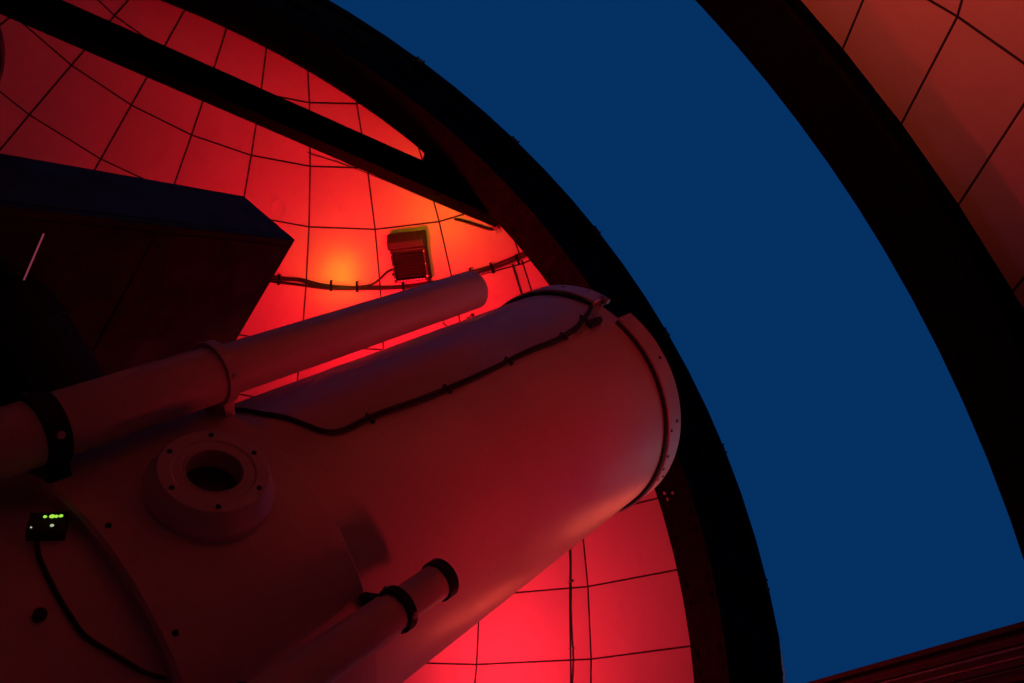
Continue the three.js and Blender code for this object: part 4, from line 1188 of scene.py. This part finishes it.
class OBS_OT_fittings(bpy.types.Operator):
    """Strap on the collar, control box with its lights, mirror cell, mirrors and saddle"""
    bl_idname = "observatory.fittings"
    bl_label = "Telescope fittings"

    def execute(self, context):
        strap, lights, cell, glass, spider, small = (Form() for _ in range(6))
        path = round_tube([(153.4, 1.812), (155.6, 1.765), (160.9, 1.64), (163.6, 1.553), (165.8, 1.492)])
        strap.band([on_tube(p.x, p.y, STRAP_R) for p in path], 0.025, 0.0025, "conduit")
        strap.block(on_tube(155.4, 1.803, STRAP_R), (-0.02, 0.014), (-0.012, 0.014), (0.002, 0.02), "conduit")
        knob = on_tube(164.7, 1.617)
        strap.block(knob, (-0.017, 0.012), (-0.042, 0.03), (0.0005, 0.016), "cable")
        ends = [knob @ Vector(p) for p in ((0.002, -0.02, 0.01), (0.004, 0.022, 0.024))]
        strap.rod(*ends, 0.011, "cable", 20)
        strap.stud(on_tube(165.8, 1.494, 0.4665), 0.011, 0.006, "conduit", top=0.008, shoulder=0.003)
        strap.stud(on_tube(145.7, 1.802, COLLAR_R - 0.0005), 0.0065, 0.001, "sealant", 20)
        strap.make("collar_strap", "telescope", "mount_paint", 0.0008)

        case = on_tube(152.8, -0.303, 0.46) @ Matrix.Rotation(math.radians(55), 4, "Z")
        lights.block(case, (-0.042, 0.026), (-0.04, 0.014), (0.0, 0.03), "cable")
        for x, y, r, finish in ((-0.014, 0, 0.0035, "led"), (-0.0015, 0.0005, 0.0052, "led"),
                                (0.006, 0, 0.004, "led"), (0.0145, 0.001, 0.004, "led"),
                                (0.002, -0.027, 0.0036, "white_led"),
                                (-0.034, -0.031, 0.0018, "white_led")):
            bulb = [(0, 0), (r, 0), (r, 0.0015), (0.6 * r, 0.0026), (0, 0.003)]
            lights.turn(shifted(case, x, y, 0.0295), bulb, finish, 20)
        lights.stud(on_tube(174.6, -0.419, 0.4635), 0.012, 0.016, "cable", top=0.009, shoulder=0.012)
        wire = round_tube([(152.6, -0.33), (160, -0.362), (171.9, -0.376), (178.4, -0.376), (183.8, -0.371),
                           (190.6, -0.342), (197.2, -0.309), (201.4, -0.276)], 5)
        lights.tube([on_tube(p.x, p.y, TUBE_R + 0.0055).translation for p in wire], 0.005, "cable")
        lights.make("control_lights", "telescope", "mount_paint", 0.0005)

        cell.turn(TUBE, [(0, -1.06), (0.165, -1.06), (0.17, -1.055), (0.17, -0.83), (0.19, -0.82),
                         (0.44, -0.82), (0.478, -0.815), (COLLAR_R, -0.81), (COLLAR_R, -0.645),
                         (0.479, CELL_FRONT), (0, CELL_FRONT)], "mount", TUBE_SIDES)
        for i in range(9):
            cell.block(shifted(TUBE, 0, 0, 0, 40 * i), (0.165, 0.46), (-0.006, 0.006), (-0.86, -0.815),
                       "mount")
        cell.make("mirror_cell_body", "telescope", "mount_paint", 0.0, ["mirror_cell"])
        pads = []
        for i in range(18):
            pads.append((on_tube(20 * i + 10, -0.8195, 0.462).translation, -TUBE_DIR))
            pads += outward([on_tube(20 * i + 10, -0.67, COLLAR_R)])
        fasteners("cell_screws", "telescope", pads, 0.006)

        dish = [(0.05 * k, -0.565 + 0.015 * (k / 8.6) ** 2) for k in range(8, -1, -1)]
        back = [(0, MIRROR_BACK), (0.438, MIRROR_BACK), (0.438, -0.552), (0.43, -0.55)]
        glass.turn(TUBE, back + dish, "mirror", TUBE_SIDES)
        glass.make("main_mirror", "telescope", "mirror", 0.0, ["primary_mirror"])
        for i in range(4):
            vane = shifted(TUBE, 0, 0, 0, 90 * i)
            spider.block(vane, (0.12, TUBE_BORE - FIT), (-0.002, 0.002), (1.4, 1.49), "cable")
            spider.block(vane, (0.436, TUBE_BORE - FIT), (-0.012, 0.012), (1.41, 1.48), "cable")
        spider.turn(TUBE, [(0, 1.384), (0.112, 1.384), (0.118, 1.38), (0.13, 1.38), (0.13, 1.46),
                           (0.12, 1.496), (0.112, 1.5), (0, 1.5)], "cable", 64)
        spider.make("secondary_holder", "telescope", "mount_paint", 0.0, ["secondary_spider"])
        small.turn(TUBE, [(0, 1.3815), (0.11, 1.3835), (0.11, 1.3845), (0, 1.3845)], "mirror", 64)
        small.make("secondary_mirror", "telescope", "mirror")
        softened("saddle", "mount", 0.005)
        return {"FINISHED"}


# The cable's way along the tube: angle and station of each point
CABLE_ROUTE = [
    (116, 0.215), (122, 0.246), (134, 0.274), (140.3, 0.286), (147.5, 0.315), (152.3, 0.328),
    (156.8, 0.342), (159.8, 0.355), (162.1, 0.379), (162.9, 0.414), (162.7, 0.458), (162.6, 0.518),
    (163.2, 0.589), (163.9, 0.664), (164.3, 0.746), (164.4, 0.927), (164.4, 1.026), (164.1, 1.134),
    (164.1, 1.246), (164.5, 1.36), (163.7, 1.443), (162.5, 1.522), (160, 1.59), (158.3, 1.635),
    (156.3, 1.683), (154.6, 1.716),
]


class OBS_OT_scopes(bpy.types.Operator):
    """Guide scope, finder scope, their rings and the cable held on the tube"""
    bl_idname = "observatory.scopes"
    bl_label = "Guide and finder scopes"

    def execute(self, context):
        guide, finder, lens, lead, ties = (Form() for _ in range(5))
        guide.turn(GUIDE, [(0, -0.76), (0.07, -0.76), (0.072, -0.757), (0.072, 0.2035), (0.0695, 0.206),
                           (0.065, 0.206), (0.065, 1.193), (0.063, 1.196), (0.057, 1.196), (0.056, 1.19),
                           (0.056, 1.06), (0, 1.06)], "tube", 72)
        guide.turn(GUIDE, [(0, -0.9), (0.0385, -0.9), (0.04, -0.898), (0.04, -0.83), (0.046, -0.826),
                           (0.046, -0.795), (0.04, -0.79), (0.04, -0.759), (0, -0.759)], "mount", 48)
        guide.make("guide_tube", "telescope", "tube_paint", 0.0, ["guide_scope"])
        for m, profile in ((GUIDE, [(0, 1.061), (0.0558, 1.061), (0.0558, 1.063), (0.03, 1.068), (0, 1.07)]),
                           (FINDER, [(0, 0.3), (0.0395, 0.3), (0.0395, 0.302), (0.02, 0.305), (0, 0.306)])):
            lens.turn(m, profile, "mirror", 48)
        lens.make("scope_lenses", "telescope", "mirror")
        finder.turn(FINDER, [(0, -0.42), (0.046, -0.42), (0.048, -0.418), (0.048, 0.155), (0.046, 0.157),
                             (0.043, 0.157), (0.043, 0.315), (0.04, 0.317), (0.04, 0.298), (0, 0.298)],
                    "tube", 64)
        finder.turn(FINDER, [(0.04, 0.315), (0.0475, 0.315), (0.049, 0.317), (0.049, 0.343), (0.0475, 0.345),
                             (0.0405, 0.345)], "mount", 64, closed=True)
        finder.turn(FINDER, [(0, -0.53), (0.0245, -0.53), (0.0258, -0.528), (0.0258, -0.46), (0.03, -0.457),
                             (0.03, -0.44), (0.0258, -0.437), (0.0258, -0.419), (0, -0.419)], "mount", 40)
        finder.make("finder_tube", "telescope", "tube_paint", 0.0, ["finder_scope"])
        softened("guide_ring_front", "tube", 0.0015)
        for node in ("guide_ring_rear", "finder_ring_front", "finder_ring_rear"):
            softened(node, "mount", 0.0015)
        screws = []
        for m, z, r in ((GUIDE, 0.186, 0.083), (GUIDE, -0.236, 0.083), (FINDER, 0.187, 0.054),
                        (FINDER, -0.22, 0.059)):
            for side in (spoke(m, degrees) for degrees in (-20, 100, 220)):
                screws.append((m.translation + TUBE_DIR * z + side * (r + 0.001), side))
        fasteners("ring_screws", "telescope", screws, 0.006)

        lane = round_tube(CABLE_ROUTE)
        for shift, r in ((-0.55, 0.0052), (0.75, 0.0042)):
            wave = [on_tube(p.x + shift + 0.25 * math.sin(9 * p.y + shift), p.y, TUBE_R + r + 0.001)
                    for p in lane]
            lead.tube([m.translation for m in wave], r, "cable", 10)
        lead.make("tube_lead", "telescope", "cable_rubber", 0.0, ["tube_cable"])
        for z in (0.5, 0.8, 1.1, 1.42, 1.6):
            m = on_tube(min(lane, key=lambda p: abs(p.y - z)).x, z, 0)
            ties.block(m, (-0.016, 0.018), (-0.004, 0.004), (0.463, 0.4755), "sealant")
        ties.make("lead_clips", "telescope", "cable_rubber", 0.001)
        return {"FINISHED"}


# Lamps: kind, place, aim, power, size and colour. Three light the outside; the others stand in the room.
LAMPS = {
    "studio_key": ("AREA", (16, 12, 7), (0, 0, 3), 2100, 9, (1, 0.97, 0.94)),
    "studio_fill": ("AREA", (-17, 10.5, 7), (0, 0, 3), 1500, 10, (0.94, 0.97, 1)),
    "studio_front": ("AREA", (1, -18, 0.8), (0, -4, 0.4), 160, 5, (1, 1, 1)),
    "red_panel": ("AREA", dome_point(54, 42, SHELL_R - 1.1), dome_point(50, 51), 34, 0.3, (1, 0.005, 0.018)),
    "red_high": ("AREA", dome_point(70, 44, SHELL_R - 1.3), dome_point(66, 58), 2.2, 0.3, (1, 0, 0.02)),
    "red_low": ("AREA", dome_point(42, 4, SHELL_R - 0.8), dome_point(33, 18), 23, 0.2, (1, 0.02, 0.045)),
    "red_sill": ("AREA", (0.55, -3.5, 3.3), (-0.1, -2.0, 3.7), 3, 0.4, (1, 0.12, 0.06)),
    "red_slit": ("AREA", (0.7, -3.3, 2.5), (-0.2, -2.0, 3.6), 3.4, 0.3, (1, 0.09, 0.05)),
    "red_tube": ("SPOT", (-1.8, -3.1, 1.5), on_tube(215, 1.0).translation, 95, 0.2, (1, 0.025, 0.036)),
    "red_west": ("AREA", dome_point(-44, 34, SHELL_R - 1.3), dome_point(-48, 44), 11, 0.3, (1, 0.1, 0.05)),
    "floor_glow": ("AREA", (0.2, -1.8, 0.6), (-0.2, -1.6, 3.0), 1.6, 0.4, (0.8, 0.3, 0.8)),
    "orange": ("AREA", dome_point(60.45, 48.2, SHELL_R - 0.22), dome_point(60.45, 48.8), 0.24, 0.05,
               (0.8, 1, 0)),
    "orange_right": ("AREA", dome_point(41.8, 53.4, SHELL_R - 0.4), dome_point(41.8, 54.3), 0.6, 0.1,
                     (1, 0.57, 0)),
}
SKY_COLOUR = (0.0098, 0.2424, 1.0, 1)
SKY_STRENGTH = 0.1221


class OBS_OT_stage(bpy.types.Operator):
    """Floor, lights and camera"""
    bl_idname = "observatory.stage"
    bl_label = "Stage"

    def execute(self, context):
        scene = context.scene
        half, depth = 60, -0.002
        mesh = bpy.data.meshes.new("stage_floor")
        corners = [(-half, -half, depth), (half, -half, depth), (half, half, depth), (-half, half, depth)]
        mesh.from_pydata(corners, [], [(0, 1, 2, 3)])
        mesh.materials.append(Shade("stage_floor").finish((0.75, 0.75, 0.74, 1), 0.9))
        floor = bpy.data.objects.new("stage_floor", mesh)
        scene.collection.objects.link(floor)

        world = bpy.data.worlds.new("studio")
        world.use_nodes = True
        sky = world.node_tree.nodes["Background"]
        sky.inputs["Color"].default_value = SKY_COLOUR
        sky.inputs["Strength"].default_value = SKY_STRENGTH
        scene.world = world

        for name, (kind, at, aim, power, size, tint) in LAMPS.items():
            data = bpy.data.lights.new(name, kind)
            data.energy = power
            data.color = tint
            if kind == "AREA":
                data.shape = "DISK"
                data.size = size
            else:
                data.shadow_soft_size = size
                data.spot_size = math.radians(50)
                data.spot_blend = 1.0
            lamp = bpy.data.objects.new(name, data)
            lamp.matrix_world = frame_along(aim, at)
            lamp.location = at
            lamp.visible_camera = False
            scene.collection.objects.link(lamp)

        camera = bpy.data.cameras.new("photo_camera")
        camera.lens = CAMERA_LENS
        camera.sensor_width = 36
        camera.clip_start = 0.05
        camera.clip_end = 200
        view = bpy.data.objects.new("photo_camera", camera)
        right = CAMERA_FORWARD.cross(CAMERA_UP).normalized()
        up = right.cross(CAMERA_FORWARD).normalized()
        view.matrix_world = frame_at(CAMERA_AT, right, up, -CAMERA_FORWARD.normalized())
        scene.collection.objects.link(view)
        scene.camera = view
        scene.view_settings.view_transform = "Standard"
        return {"FINISHED"}


class OBS_PT_panel(bpy.types.Panel):
    bl_idname = "OBS_PT_panel"
    bl_label = "Observatory dome"
    bl_space_type = "VIEW_3D"
    bl_region_type = "UI"
    bl_category = "Observatory"

    def draw(self, context):
        for step in STEPS:
            self.layout.operator(step.bl_idname)


STEPS = [OBS_OT_stage, OBS_OT_finishes, OBS_OT_shell, OBS_OT_arches, OBS_OT_ties, OBS_OT_wall_box,
         OBS_OT_cables, OBS_OT_ring_and_track, OBS_OT_shutters, OBS_OT_entrance, OBS_OT_mount,
         OBS_OT_barrel, OBS_OT_fittings, OBS_OT_scopes]
CLASSES = [DomeColours, DomeSizes, *STEPS, OBS_PT_panel]


def register():
    for cls in CLASSES:
        bpy.utils.register_class(cls)
    bpy.types.Scene.dome_colours = bpy.props.PointerProperty(type=DomeColours)
    bpy.types.Scene.dome_sizes = bpy.props.PointerProperty(type=DomeSizes)


def unregister():
    del bpy.types.Scene.dome_colours
    del bpy.types.Scene.dome_sizes
    for cls in reversed(CLASSES):
        bpy.utils.unregister_class(cls)


def main():
    register()
    for step in STEPS:
        area, name = step.bl_idname.split(".")
        getattr(getattr(bpy.ops, area), name)()


if __name__ == "__main__":
    main()
